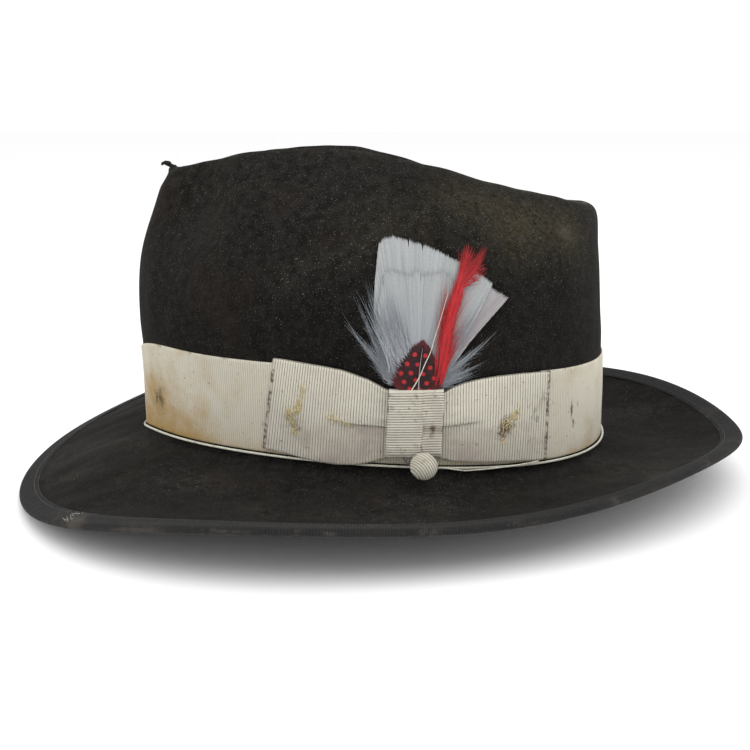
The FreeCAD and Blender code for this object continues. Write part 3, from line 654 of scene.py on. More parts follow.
# the pinched front corner of the crease has worn up into a small curl
cn = S(np.array([181.5]), np.array([11.9]))[0]
w = np.exp(-(np.linalg.norm(Q - cn, axis=-1) / 2.6) ** 2) * outer
Q2 += w[..., None] * np.array([-0.8, 0.0, 1.3])
dent = S(np.array([183.0]), np.array([13.2]))[0]
w = np.exp(-(np.linalg.norm(Q - dent, axis=-1) / 2.8) ** 2) * outer
Q2 += w[..., None] * np.array([1.2, 0.2, 0.0])

crest = gauss(VV, V_CREST + 0.15, 0.5) * outer
left = sm((-Q[..., 1] - 5.0) / 12.0)
wear = crest * (0.30 + 0.35 * sm((Q[..., 0] - 20) / 60.0)) * (0.4 + 0.6 * waves(Q, 1.0, 16.0, 8))
wear += 0.5 * spot(Q, near(79.0, 84.0, 0), 4.0) + 0.5 * gauss(VV, V_CREST + 0.1, 0.35) * sm((Q[..., 0] - 80) / 12.0) * outer
seam = gauss(brim_t, 0.90, 0.016) * (VV > V_BREAK) * outer
wear += 0.35 * seam + 0.5 * spot(Q, S(315.0, V_EDGE - 3.0), 7.0) * outer
olive = 1.0 * spot(Q * np.array([1, 1, 1.0]), near(58.0, 89.0, 0), 16.0) + 0.75 * spot(Q, near(80.0, 85.0, 0), 13.0)
olive += 0.5 * spot(Q, near(36.0, 98.0, 0), 13.0) + 0.35 * spot(Q, near(8.0, 88.0, 0), 16.0)
dust = 0.22 + 0.30 * crown_mask * sm((Q[..., 2] - 50) / 50.0) + 0.45 * np.clip(olive, 0, 1)
# a diagonal rubbed streak on the crown's side
a0, a1 = near(-34.0, 68.0, 0), near(2.0, 81.0, 0)
ax = (a1 - a0) / np.linalg.norm(a1 - a0)
t = np.clip((Q - a0) @ ax, 0, np.linalg.norm(a1 - a0))
dist = np.linalg.norm(Q - a0 - t[..., None] * ax, axis=-1)
dust += 0.55 * np.exp(-(dist / 5.0) ** 2)
dust += 0.5 * np.clip(waves(Q, 1.0, 42.0, 21, 2), 0, 1) * (VV > V_BREAK)
smudge = S(206.0, V_BREAK + 8.0)
dust += 1.2 * np.exp(-np.sum(((Q - smudge) / np.array([10.0, 6.0, 9.0])) ** 2, -1)) * outer
brown = 0.35 * spot(Q, near(-62.0, 60.0, 0), 14.0) + 0.30 * spot(Q, S(196.0, V_CREST + 5), 14.0) + 0.18 * np.clip(waves(Q, 1.0, 30.0, 31, 2), 0, 1)
n, k = Q.shape[:2]
pts = Q2.reshape(-1, 3).tolist()
F = quads(n, k, True, False)
top_pole, in_pole = S(np.array([0.0]), np.array([0.0]))[0], S(np.array([0.0]), np.array([V_LAST]))[0]
P = np.concatenate([Q2.reshape(-1, 3), top_pole[None], in_pole[None]])
caps = [[i * k, len(P) - 2, ((i + 1) % n) * k] for i in range(n)]
caps += [[i * k + k - 1, ((i + 1) % n) * k + k - 1, len(P) - 1] for i in range(n)]
ext = lambda a: np.concatenate([np.asarray(a, float).ravel(), [0.2, 0.2]])
build("felt_hat", P, F, FELT, "hat", ["felt_body"],
      {"dust": ext(np.clip(dust, 0, 1)), "olive": ext(np.clip(olive, 0, 1)), "wear": ext(np.clip(wear, 0, 1)), "brown": ext(np.clip(brown, 0, 1))}, None, caps)


# ------------------------------------------------------------ corded ribbon
def cords(phase):
    """Height 0..1 across one cord, and 0 in the groove."""
    f = phase - np.floor(phase)
    return 1.0 - np.abs(2 * f - 1) ** 2.2


def ribbon_section(rows, edge=0.22):
    """Fractions down the face."""
    g = np.concatenate([[0.0, 0.004, 0.012], np.linspace(0.03, 0.97, rows), [0.988, 0.996, 1.0]])
    return g


PITCH = 1.04
mid = S(np.linspace(0, 360, 2001), np.full(2001, V_BREAK - 4.0))
run = np.concatenate([[0], np.cumsum(np.linalg.norm(np.diff(mid, axis=0), axis=1))])
N_RIB = int(round(run[-1] / PITCH))
K = 5
s = np.arange(N_RIB * K) / float(N_RIB * K) * run[-1]
pb = np.interp(s, run, np.linspace(0, 360, 2001))
g = ribbon_section(17)
EDGE_X = [-60.0, -40.2, -30.1, -23.1, -16.5, -8.6, -3.7, 1.6, 4.8, 7.0, 18.0, 29.6, 32.2, 36.4, 42.8, 49.2, 58.1, 68.2, 90.0]
EDGE_TOP = [37.0, 38.2, 38.1, 37.6, 37.0, 35.9, 34.5, 32.5, 30.6, 29.1, 28.8, 28.8, 29.9, 31.3, 32.3, 32.8, 32.9, 32.3, 31.5]
lo, hi = LOW(pb) + 0.15, HIGH(pb)
# the band is drawn together under the bow, so it stays below the wings' edge
xm = wall(pb, np.full((len(pb), 1), 15.0), np.zeros((len(pb), 1)))[:, 0, 0]
behind = (pb > 200) & (pb < 340) & (xm > -36.0) & (xm < 68.0)
hi = np.where(behind, np.minimum(hi, np.interp(xm, EDGE_X, EDGE_TOP) - 0.9), hi)
rib = cords(s / PITCH * 1.0)
ph = cords(np.arange(N_RIB * K) / float(K))
scallop = (ph - 0.5) * 0.22
ZF = (hi + scallop)[:, None] + ((lo - scallop) - (hi + scallop))[:, None] * g[None, :]
edge_round = np.minimum(1.0, np.minimum(g, 1 - g) / 0.012)
DF = 0.56 + 0.30 * ph[:, None] * (0.35 + 0.65 * edge_round)[None, :] - 0.16 * (1 - edge_round)[None, :]
gb = np.array([1.0, 0.8, 0.5, 0.2, 0.0])
ZB = (hi + scallop)[:, None] + ((lo - scallop) - (hi + scallop))[:, None] * gb[None, :]
DB = np.full(ZB.shape, 0.14)
Z, D = np.concatenate([ZF, ZB], 1), np.concatenate([DF, DB], 1)
wob = waves(wall(pb, Z, D * 0), 0.10, 30.0, 44, 2)
PB = wall(pb, Z, D + np.clip(wob, 0, 1) * (D > 0.3))
ribA = np.concatenate([np.broadcast_to(ph[:, None], ZF.shape), np.zeros(ZB.shape)], 1)
GF = np.concatenate([np.broadcast_to(g, ZF.shape), np.broadcast_to(gb, ZB.shape)], 1)
fa = np.minimum(np.abs(pb - 180.0), 360 - np.abs(pb - 180.0))[:, None]
xx = PB[..., 0]
pband = np.broadcast_to(pb[:, None], GF.shape)
front = np.exp(-((pband - 206.0) / 17.0) ** 2)
stain = 0.12 + 0.50 * front * (0.25 + 0.75 * sm((GF - 0.15) / 0.5)) + 0.30 * gauss(pband, 196.0, 8.0) * gauss(GF, 0.95, 0.25)
stain += 0.22 * np.clip(waves(PB, 1.0, 22.0, 51, 3), 0, 1) + 0.22 * gauss(GF, 1.0, 0.07)
stain += 0.30 * np.exp(-((pband - 222.0) / 16.0) ** 2) * sm((GF - 0.55) / 0.35)
left_side = (PB[..., 1] < 0)
grime = 0.02 + 0.45 * np.exp(-((pband - 209.0) / 8.0) ** 2 - ((GF - 0.62) / 0.16) ** 2)
grime += 0.30 * gauss(pband, 196.0, 6.0) * sm((GF - 0.6) / 0.3)
grime += 0.20 * np.clip(waves(PB, 1.0, 12.0, 52, 3), 0, 1) + 0.30 * gauss(GF, 0.0, 0.02) + 0.20 * gauss(GF, 1.0, 0.02)
# painted shadow: narrow dark lines on the band just past each wing's outer end, where the wing ends stand over it
grime += 0.25 * np.exp(-((xx + 41.5) / 1.2) ** 2) * left_side + 0.35 * np.exp(-((xx - 71.0) / 1.0) ** 2) * left_side
for cx, cz, sx, sz in ((81.6, 14.0, 0.7, 4.0), (82.7, 7.9, 0.7, 2.4), (84.6, 15.5, 0.5, 2.2)):
    c = near(cx, cz, 1)
    grime += 0.85 * np.exp(-((PB[..., 0] - c[0]) / sx) ** 2 - ((PB[..., 2] - c[2]) / sz) ** 2) * left_side
UVB = np.stack([np.broadcast_to((s / 10.0)[:, None], Z.shape), Z / 10.0], -1)
loop_strip("hatband", PB, RIBBON, "hat", ["hatband_ribbon"],
           {"rib": ribA, "stain": np.clip(stain, 0, 1), "grime": np.clip(grime, 0, 1)}, UVB, True)

# ------------------------------------------------------------- brim binding
BIND_W = 8.6
PJ = 225.0


def binding_params(ps):
    vs = np.concatenate([np.linspace(V_BREAK + 4.0, V_EDGE - 1.7, 60), V_EDGE - 1.7 + 3.4 * np.arange(1, 61) / 61.0,
                         np.linspace(V_EDGE + 1.7, 2 * V_EDGE - V_BREAK - 4.0, 60)])
    q = S(ps[:, None], vs[None, :], np.full((len(ps), len(vs)), 0.4))
    e = S(ps, np.full(len(ps), V_EDGE))
    r = np.concatenate([np.zeros((len(ps), 1)), np.cumsum(np.linalg.norm(np.diff(q, axis=1), axis=2), 1)], 1)
    d = np.linalg.norm(q - e[:, None], axis=2)
    return vs, r, d


N_BIN = 900
KB = 4
pn = np.linspace(PJ, PJ + 360.0, 1441)
en = S(pn, np.full(len(pn), V_EDGE))
er = np.concatenate([[0], np.cumsum(np.linalg.norm(np.diff(en, axis=0), axis=1))])
ss = np.arange(N_BIN * KB) / float(N_BIN * KB) * er[-1]
pe = np.interp(ss, er, pn)
coarse = np.linspace(PJ, PJ + 360.0, 181)
vs, rr, dd = binding_params(coarse)
ie = int(np.argmin(np.abs(vs - V_EDGE)))
FR = np.concatenate([[0.0, 0.006, 0.02], np.linspace(0.06, 0.40, 8), np.linspace(0.43, 0.57, 11), np.linspace(0.60, 0.94, 8), [0.98, 0.994, 1.0]])
VC = np.empty((len(coarse), len(FR)))
for i in range(len(coarse)):
    ra = np.interp(-BIND_W, -dd[i, :ie], rr[i, :ie])
    rb = np.interp(BIND_W, dd[i, ie:], rr[i, ie:])
    VC[i] = np.interp(ra + (rb - ra) * FR, rr[i], vs)
VE = np.empty((len(pe), len(FR)))
for j in range(len(FR)):
    VE[:, j] = np.interp(pe, coarse, VC[:, j])
pb2 = cords(np.arange(N_BIN * KB) / float(KB))
fe = np.minimum(1.0, np.minimum(FR, 1 - FR) / 0.02)
D1 = 0.46 + 0.26 * pb2[:, None] * (0.3 + 0.7 * fe)[None, :] - 0.18 * (1 - fe)[None, :]
stitch_row = gauss(FR, 0.10, 0.018) + gauss(FR, 0.90, 0.018)
D1 = D1 - 0.10 * stitch_row[None, :]
# the lap of the binding's two ends
lap = np.exp(-((ss - 5.0) / 4.0) ** 2)[:, None] + np.exp(-((ss - er[-1]) / 2.0) ** 2)[:, None]
D1 = D1 + 0.14 * np.clip(lap, 0, 1)
fb = np.linspace(1.0, 0.0, 16)
VB2 = np.empty((len(pe), len(fb)))
for j in range(len(fb)):
    col = np.array([np.interp(fb[j], FR, VC[i]) for i in range(len(coarse))])
    VB2[:, j] = np.interp(pe, coarse, col)
VA = np.concatenate([VE, VB2], 1)
DA = np.concatenate([D1, np.full(VB2.shape, 0.16)], 1)
PBN = S(np.broadcast_to((pe % 360.0)[:, None], VA.shape), VA, DA)
ra2 = np.concatenate([np.broadcast_to(pb2[:, None], VE.shape), np.zeros(VB2.shape)], 1)
FRA = np.broadcast_to(np.concatenate([FR, fb])[None, :], VA.shape)
fold = gauss(FRA, 0.5, 0.035)
st = 0.10 + 0.30 * fold * np.clip(0.4 + waves(PBN, 1.0, 34.0, 61, 2), 0, 1)
gm = 0.16 + 0.30 * np.clip(waves(PBN, 1.0, 22.0, 62, 3), 0, 1) + 0.35 * fold * np.clip(waves(PBN, 1.0, 16.0, 63, 2), 0, 1)
gm += 0.5 * spot(PBN, PBN[8, 8], 8.0) + 0.35 * (gauss(FRA, 0.004, 0.012) + gauss(FRA, 0.996, 0.012))
UVN = np.stack([np.broadcast_to((ss / 10.0)[:, None], VA.shape), FRA * 1.9], -1)
loop_strip("brim_binding_tape", PBN, BINDING, "hat", ["brim_binding"],
           {"rib": ra2, "stain": np.clip(st, 0, 1), "grime": np.clip(gm, 0, 1)}, UVN, True)


# ------------------------------------------------------------- thread tools
def tube_mesh(lines, radius, sides=5, attrs=None):
    """Many tubes as one mesh. lines: list of (n, 3) with per-point radii."""
    V, F, A = [], [], []
    base = 0
    for li, L in enumerate(lines):
        L = np.asarray(L, float)
        n = len(L)
        r = np.broadcast_to(radius[li] if isinstance(radius, (list, tuple)) else radius, (n,))
        T = unit(np.gradient(L, axis=0))
        ref = np.array([0.3, 0.2, 1.0]) if abs(T[0, 2]) < 0.9 else np.array([1.0, 0.1, 0])
        X = unit(np.cross(T, ref))
        Y = np.cross(T, X)
        a = np.arange(sides) * 2 * math.pi / sides
        ring = L[:, None] + (X[:, None] * np.cos(a)[None, :, None] + Y[:, None] * np.sin(a)[None, :, None]) * r[:, None, None]
        V.append(ring.reshape(-1, 3))
        F += (quads(n, sides, False, True) + base).tolist()
        F.append([base + k for k in range(sides)][::-1])
        F.append([base + (n - 1) * sides + k for k in range(sides)])
        A.append(np.repeat(np.linspace(0, 1, n), sides))
        base += n * sides
    return np.concatenate(V), F, np.concatenate(A)


def threads(name, lines, radius, mat, body, nodes, sides=5, tone=None):
    V, F, A = tube_mesh(lines, radius, sides)
    me_attrs = {"along": A, "tone": np.zeros(len(A)) if tone is None else tone}
    V = (V + SHIFT) * 0.001
    me = bpy.data.meshes.new(name)
    me.from_pydata(V.tolist(), [], F)
    me.update()
    for key, val in me_attrs.items():
        a = me.attributes.new(key, "FLOAT", "POINT")
        a.data.foreach_set("value", np.asarray(val, np.float32))
    me.polygons.foreach_set("use_smooth", np.ones(len(me.polygons), bool))
    me.materials.append(mat)
    o = bpy.data.objects.new(name, me)
    bpy.context.scene.collection.objects.link(o)
    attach(o, body)
    if nodes:
        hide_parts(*nodes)
    return o


# the curl itself: a worn flap of felt, thick at its root and turned over at the tip
cl = cn + np.array([[2.6, -0.3, 0.2], [1.2, -0.4, 1.3], [-0.4, -0.6, 2.5], [-2.0, -0.8, 3.1], [-3.3, -0.9, 2.9], [-3.9, -0.9, 2.2]])
tq = np.linspace(0, 5, 22)
cl = np.stack([np.interp(tq, np.arange(6), cl[:, c]) for c in range(3)], 1)
for c in range(3):
    cl[2:-2, c] = np.convolve(cl[:, c], np.ones(5) / 5, "valid")
cr = 1.15 * (1 - (np.linspace(0, 1, 22) ** 2.2) * 0.62) * (1 + 0.12 * np.sin(np.linspace(0, 15, 22)))
CV, CF, CA = tube_mesh([cl], [cr], 10)
CV = CV + (waves(CV, 0.25, 2.2, 303, 2))[:, None] * np.array([0.4, 1.0, 0.5])
build("felt_crown_curl", CV, CF[:-2], FELT, "hat", [], {"dust": 0.2 + 0 * CA, "olive": 0 * CA, "wear": 0.15 + 0 * CA, "brown": 0 * CA}, None, CF[-2:])

# machine stitches that hold the binding, top and underside
lines = []
for fr in (0.10, 0.90):
    vrow = np.array([np.interp(fr, FR, VC[i]) for i in range(len(coarse))])
    for k in range(430):
        a = PJ + 360.0 * (k + np.array([0.08, 0.3, 0.5, 0.7, 0.92])) / 430.0
        v = np.interp(a, coarse, vrow)
        lines.append(S(a % 360.0, v, np.array([0.50, 0.70, 0.74, 0.70, 0.50])))
threads("binding_stitches", lines, 0.13, STITCH, "hat", [], 4)

# frayed ends where the binding is joined
lines = []
for i in range(26):
    p0 = PJ + rng.uniform(-0.5, 0.9)
    v0 = float(np.interp(rng.uniform(0.05, 0.45), FR, VC[1]))
    L = [S(np.array([p0]), np.array([v0]), np.array([0.6]))[0]]
    dirn = unit(rng.normal(size=3) * np.array([1, 1, 0.5]))
    for q in range(4):
        dirn = unit(dirn + rng.normal(size=3) * 0.5)
        L.append(L[-1] + dirn * 0.45)
    L = np.array(L)
    base_pt = L[0]
    L[:, 2] = np.maximum(L[:, 2], base_pt[2])
    lines.append(L)
threads("binding_fray", lines, 0.06, WHITE, "hat", [], 4)


# ------------------------------------------------------------------ the bow
def poly(xs, pts):
    pts = np.array(pts, float)
    return np.interp(xs, pts[:, 0], pts[:, 1])


def soft_poly(pts, lo, hi, n=240, w=7):
    x = np.linspace(lo, hi, n)
    y = poly(x, pts)
    pad = np.concatenate([np.full(w, y[0]), y, np.full(w, y[-1])])
    # extend the ends linearly so that smoothing keeps them
    pad[:w] = y[0] + (y[1] - y[0]) * np.arange(-w, 0)
    pad[-w:] = y[-1] + (y[-1] - y[-2]) * np.arange(1, w + 1)
    ker = np.hanning(2 * w + 1)
    ker /= ker.sum()
    return x, np.convolve(pad, ker, "valid")


L_TOP = [(-46, 38.9), (-34.6, 38.8), (-30.1, 38.6), (-23.1, 37.9), (-16.5, 37.3), (-8.6, 36.2), (-3.7, 34.6), (1.6, 32.8), (5.2, 30.7), (8.3, 29.1), (20, 27.6)]
L_BOT = [(-46, 3.2), (-40.7, 2.6), (-29.6, 1.4), (-18.4, -0.3), (-11.0, -0.8), (-3.8, -0.4), (1.6, 0.9), (7.0, 2.8), (20, 5.0)]
R_TOP = [(10, 27.2), (28.0, 27.6), (32.2, 29.9), (36.4, 31.4), (42.8, 32.5), (49.2, 33.0), (58.1, 33.0), (67.3, 32.4), (72.0, 31.9)]
R_BOT = [(10, 5.0), (27.7, 2.8), (32.6, 1.2), (41.3, 0.2), (54.5, -1.0), (68.0, -3.0), (74.0, -3.8)]


def bow_wing(name, node, side):
    """A folded loop of ribbon: under layer out from the knot, round the outer
    end, and back over the top, gathered into the knot with one soft pleat."""
    if side < 0:
        out_top, out_bot, x_in = -35.2, -40.4, 17.6
        tx, ty = soft_poly(L_TOP, -46, 20)
        bx, by = soft_poly(L_BOT, -46, 20)
    else:
        out_top, out_bot, x_in = 70.2, 69.6, 18.4
        tx, ty = soft_poly(R_TOP, 10, 72)
        bx, by = soft_poly(R_BOT, 10, 74)
    length = abs(x_in - 0.5 * (out_top + out_bot))
    ribs = int(round(length / PITCH))
    Kw = 6
    nf = ribs * Kw
    nback = 26
    narc = 13
    # path parameter: c = 0 at the outer end, 1 at the knot
    cf = np.arange(nf + 1) / float(nf)
    cb = np.linspace(1.0, 0.0, nback)
    m = 61
    w = np.linspace(0, 1, m)

    def lay(c, back):
        x = (out_top + (out_bot - out_top) * w)[None, :] * (1 - c)[:, None] + x_in * c[:, None]
        zt = np.interp(x, tx, ty)
        zb = np.interp(x, bx, by)
        if back:
            zt, zb = zt + 0.25, zb + 0.9 * sm(c / 0.3)[:, None]
        z = zt + (zb - zt) * w[None, :]
        return x, z

    C, W = np.meshgrid(cf, w, indexing="ij")
    x, z = lay(cf, False)
    ph = cords(C * ribs)
    dback = mix(1.15, 1.9, sm(C / 0.5))
    knot_c = sm((C - 0.40) / 0.28)
    full = np.sin(math.pi * np.clip(C / 0.80, 0, 1)) ** 0.8
    d = dback + 1.05 + 0.75 * full * np.sin(math.pi * W) ** 0.7
    # the pleat: the upper half rolls over the lower
    w0 = 0.535 if side < 0 else 0.50
    reach = sm((C - (0.40 if side < 0 else 0.46)) / 0.22) * (1 - 0.5 * sm((C - 0.86) / 0.14))
    u = (W - w0) / 0.030
    env = np.exp(-(u / 2.2) ** 2)
    z = z + reach * 1.15 * u * np.exp(-u * u / 2.0)
    d = d - reach * 0.62 * np.tanh(u * 1.3) * (0.40 + 0.60 * env)
    d = d + reach * 0.55 * gauss(W, w0 - 0.12, 0.12) - reach * 0.30 * gauss(W, w0 + 0.09, 0.06)
    # fine gathers near the knot
    d = d + sm((C - 0.62) / 0.2) * 0.12 * np.sin(W * 46.0 + 1.3 * np.sin(C * 9.0))
    d = d + 0.16 * np.sin(C * 7.0 + W * 3.1) * full
    d = np.minimum(d, mix(9.0, 4.15, sm((C - 0.70) / 0.08)))
    d = np.maximum(d, dback + 0.95)
    ends = np.minimum(1.0, np.minimum(W, 1 - W) / 0.02)
    dfr = d + 0.26 * ph * (0.4 + 0.6 * ends)
    z = z + (ph - 0.5) * 0.24 * (gauss(W, 0.0, 0.02) - gauss(W, 1.0, 0.02))
    front = near(x, z, dfr)
    inner = near(x, z, d - 0.22)
    # under layer
    xb, zb = lay(cb, True)
    Cb = np.broadcast_to(cb[:, None], xb.shape)
    db = mix(1.12, 1.75, sm(Cb / 0.5))
    back_out = near(xb, zb, db)
    back_in = near(xb, zb, db + 0.42)
    # outer fold: half circle from the under layer to the top layer
    th = np.linspace(0, math.pi, narc + 2)[1:-1]
    dlo, dhi = 1.12, dfr[0]
    sgn = -1.0 if side < 0 else 1.0
    x0, z0 = x[0], z[0]
    xa, za = xb[-1], zb[-1]
    arc_o, arc_i = [], []
    for t in th:
        f = 0.5 - 0.5 * math.cos(t)
        rad = (dhi - dlo) / 2
        dd_ = dlo + rad * (1 - math.cos(t))
        wob = 0.16 * np.sin(w * 19.0) + 0.10 * np.sin(w * 43.0)
        xo = mix(xa, x0, f) + sgn * (0.95 * math.sin(t) * rad + wob * math.sin(t))
        arc_o.append(near(xo, mix(za, z0, f), dd_))
        ri = np.maximum(rad - 0.34, 0.05)
        dm = dlo + rad
        arc_i.append(near(mix(xa, x0, f) + sgn * 0.9 * math.sin(t) * ri, mix(za, z0, f), dm - ri * math.cos(t)))
    outer_ = np.concatenate([back_out, np.array(arc_o), front])
    inner_ = np.concatenate([back_in, np.array(arc_i), inner])
    P = np.concatenate([outer_, inner_[:, ::-1]], 1)
    ntot = len(outer_)
    ribB = np.zeros((nback + narc, m))
    arcph = cords(np.arange(narc) / 3.0)
    ribB[nback:] = 0.6
    ribA = np.concatenate([ribB, ph])
    allrib = np.concatenate([ribA, np.zeros((ntot, m))], 1)
    Call = np.concatenate([np.concatenate([np.broadcast_to(cb[:, None], (nback, m)), np.zeros((narc, m)), C])] * 2, 1)
    Wall = np.concatenate([np.broadcast_to(w, (ntot, m)), np.broadcast_to(w[::-1], (ntot, m))], 1)
    fold = np.exp(-(Call / 0.024) ** 2)
    # painted shade: the middle term greys the lower half of each wing; the fold term and the noise are real staining
    stain = 0.06 + 0.45 * fold + 0.46 * sm((Wall - 0.50) / 0.14) * (0.45 + 0.55 * sm((Call - 0.1) / 0.5))
    stain += 0.22 * np.clip(waves(P, 1.0, 14.0, 70 + side, 3), 0, 1)
    grime = 0.02 + 0.85 * fold * np.clip(0.60 + 0.8 * waves(P, 1.0, 2.6, 75 + side, 3), 0, 1) + (0.12 if side > 0 else 0.0) * fold
    grime += 0.25 * np.clip(waves(P, 1.0, 8.0, 77 + side, 3), 0, 1)
    # painted shadow: a dark line just below the pleat's fold, where the upper half overhangs the lower
    under = np.zeros_like(Call)
    under[:, :m] = np.concatenate([np.zeros((nback + narc, m)), reach * gauss(W, w0 + 0.022, 0.016)])
    grime += 0.7 * under
    if side < 0:
        grime += 0.5 * np.exp(-(((P[..., 0] + 27.0) / 3.0) ** 2 + ((P[..., 2] - 15.0) / 5.0) ** 2))
    else:
        grime += 0.9 * np.exp(-(((P[..., 0] - 53.5) / 3.6) ** 2 + ((P[..., 2] - 13.5) / 5.0) ** 2))
        grime += 0.4 * np.exp(-(((P[..., 0] - 66.0) / 4.0) ** 2 + ((P[..., 2] - 17.0) / 7.0) ** 2))
    run_ = np.concatenate([-(1 - (1 - cb)) * 0, np.zeros(narc), cf * length])
    UV = np.stack([np.broadcast_to((run_ / 10.0)[:, None], Call.shape), Wall * 3.5], -1)
    loop_strip(name, P, BOW, "hat", [node], {"rib": allrib, "stain": np.clip(stain, 0, 1), "grime": np.clip(grime, 0, 1)}, UV, False)
    return lambda X, Zz: None


bow_wing("bow_wing_front", "bow_front_wing", -1)
bow_wing("bow_wing_rear", "bow_rear_wing", 1)


def knot_piece(name, node, xa, xb, lift, dent, seed):
    """Ribbon turned over the bow's middle; cords run level across it."""
    zlo, zhi = 3.9, 29.6
    face = 24
    Kk = 6
    # (z, d) down the back, round the bottom, up the face, over the top
    nf = face * Kk
    zf = np.linspace(zlo + 0.9, zhi - 0.9, nf + 1)
    path, phase = [], []
    for t in np.linspace(0, 1, 10)[:-1]:
        path.append((zlo - 0.2, mix(2.3, 4.6 + lift, t)))
        phase.append(0.5)
    for t in np.linspace(-0.5 * math.pi, 0, 7)[:-1]:
        path.append((zlo + 0.9 + 1.1 * math.sin(t) * 1.0, 4.6 + lift + 0.75 * math.cos(t)))
        phase.append(0.6)
    for i, zz in enumerate(zf):
        h = (zz - zlo) / (zhi - zlo)
        path.append((zz, 5.35 + lift + 0.25 * math.sin(math.pi * h)))
        phase.append(i / float(Kk))
    for t in np.linspace(0, 0.5 * math.pi, 7)[1:]:
        path.append((zhi - 0.9 + 1.1 * math.sin(t), 4.6 + lift + 0.75 * math.cos(t)))
        phase.append(0.6)
    for t in np.linspace(0, 1, 10)[1:]:
        path.append((zhi + 0.2, mix(4.6 + lift, 2.3, t)))
        phase.append(0.5)
    path, phase = np.array(path), np.array(phase)
    is_face = np.zeros(len(path), bool)
    is_face[15:15 + nf + 1] = True
    ph = np.where(is_face, cords(phase), 0.7)
    m = 23
    w = np.concatenate([[0, 0.015], np.linspace(0.05, 0.95, m - 4), [0.985, 1]])
    X = xa(path[:, 0])[:, None] * (1 - w)[None, :] + xb(path[:, 0])[:, None] * w[None, :]
    Z = np.broadcast_to(path[:, 0:1], X.shape)
    D = np.broadcast_to(path[:, 1:2], X.shape).copy()
    e = np.minimum(1.0, np.minimum(w, 1 - w) / 0.05)[None, :]
    amp = np.where(is_face, 1.0, 0.3)[:, None]
    D = D + 0.30 * ph[:, None] * (0.4 + 0.6 * e) * amp - 0.22 * (1 - e)
    D = D + 0.10 * np.sin(Z * 0.9 + seed) * amp + 0.16 * np.sin(w * 5.0 + seed)[None, :] * amp
    if dent:
        D = D - 0.85 * gauss(Z, 13.6, 2.2) * (1 - 0.25 * w)[None, :]
    Xs = X + (ph[:, None] - 0.5) * 0.20 * np.where(w < 0.02, -1.0, np.where(w > 0.98, 1.0, 0.0))[None, :]
    Pf = near(Xs, Z, D)
    # inner skin, 0.5 mm further in along the path's own normal
    dz, dd_ = np.gradient(path[:, 0]), np.gradient(path[:, 1])
    ln = np.hypot(dz, dd_)
    nz, nd = -dd_ / ln, dz / ln
    sgn = np.sign(nd[len(nd) // 2])
    Zi = Z - (nz * 0.5)[:, None] * sgn
    Di = D - 0.30 * ph[:, None] * amp - (nd * 0.45)[:, None] * sgn
    Pi = near(X, Zi, Di)
    P = np.concatenate([Pf, Pi[:, ::-1]], 1)
    ribA = np.concatenate([np.broadcast_to(ph[:, None], X.shape), np.zeros(X.shape)], 1)
    Wl = np.concatenate([np.broadcast_to(w, X.shape), np.broadcast_to(w[::-1], X.shape)], 1)
    # the last stain term greys the lower part of the knot: painted shade, as on the wings
    stain = 0.10 + 0.30 * np.clip(waves(P, 1.0, 10.0, seed + 80, 3), 0, 1) + 0.30 * sm((14.0 - P[..., 2]) / 12.0)
    grime = 0.10 + 0.35 * np.clip(waves(P, 1.0, 6.0, seed + 90, 3), 0, 1) + 0.35 * (gauss(Wl, 0, 0.03) + gauss(Wl, 1, 0.03))
    # painted shade in the right piece's fold pocket: the grime and stain bands at z 13-15 darken the recess
    if dent:
        grime += 0.20 * gauss(P[..., 2], 15.2, 1.3) + 0.22 * gauss(P[..., 2], 13.4, 2.2)
        stain += 0.55 * gauss(P[..., 2], 14.6, 1.8)
    run_ = np.concatenate([[0], np.cumsum(np.hypot(np.diff(path[:, 0]), np.diff(path[:, 1])))])
    UV = np.stack([np.broadcast_to((run_ / 10)[:, None], Wl.shape), Wl * 1.4], -1)
    loop_strip(name, P, BOW, "hat", [node], {"rib": ribA, "stain": np.clip(stain, 0, 1), "grime": np.clip(grime, 0, 1)}, UV, False)


knot_piece("knot_left", "bow_knot", lambda z: 7.5 + 1.3 * (z - 3.0) / 26.5, lambda z: 20.9 + 0.25 * np.sin(z * 0.5), 0.32, False, 1)
knot_piece("knot_right", "bow_knot_fold", lambda z: 20.3 + 0.0 * z, lambda z: 27.9 + 0.8 * (z - 4.4) / 24.0 + 0.15 * np.sin(z * 0.6), -0.45, True, 2)


def tuft(centre_list, n, length, spread, seed, d0=3.2):
    r = np.random.default_rng(seed)
    out = []
    for i in range(n):
        t = r.uniform(0, 1)
        k = t * (len(centre_list) - 1)
        a, b = centre_list[int(k)], centre_list[min(int(k) + 1, len(centre_list) - 1)]
        f = k - int(k)
        x, z = mix(a[0], b[0], f) + r.normal() * spread, mix(a[1], b[1], f) + r.normal() * spread
        ang = r.uniform(-0.5, 0.5) - math.pi / 2 + (math.pi if r.uniform() < 0.35 else 0)
        dx, dz = math.cos(ang), math.sin(ang)
        L = []
        for q in range(6):
            s_ = q / 5.0
            L.append((x + dx * length * s_ + 0.25 * math.sin(6 * s_ + i), z + dz * length * s_, d0 + 0.55 * math.sin(math.pi * min(1, s_ * 1.1)) + 0.2 * r.uniform()))
        L = np.array(L)
        out.append(near(L[:, 0], L[:, 1], L[:, 2]))
    return out


lines = tuft([(-22.9, 28.9), (-23.6, 27.6)], 16, 1.7, 0.5, 1, 3.15)
lines += tuft([(-24.2, 23.6), (-26.0, 20.5), (-30.0, 17.6)], 70, 2.6, 0.6, 2, 3.1)
lines += tuft([(-27.3, 14.5), (-27.0, 10.5)], 34, 2.0, 0.5, 3, 2.9)
lines += tuft([(-14.0, 18.6), (-8.0, 17.2), (-5.0, 17.0)], 46, 1.7, 0.5, 4, 3.6)
lines += tuft([(56.6, 20.0), (55.0, 16.0), (50.6, 13.4)], 66, 2.2, 0.8, 5, 3.2)
lines += tuft([(51.4, 10.4), (51.0, 7.5)], 18, 1.8, 0.4, 6, 3.0)
threads("worn_ribbon_threads", lines, 0.11, TUFT, "hat", [], 4)

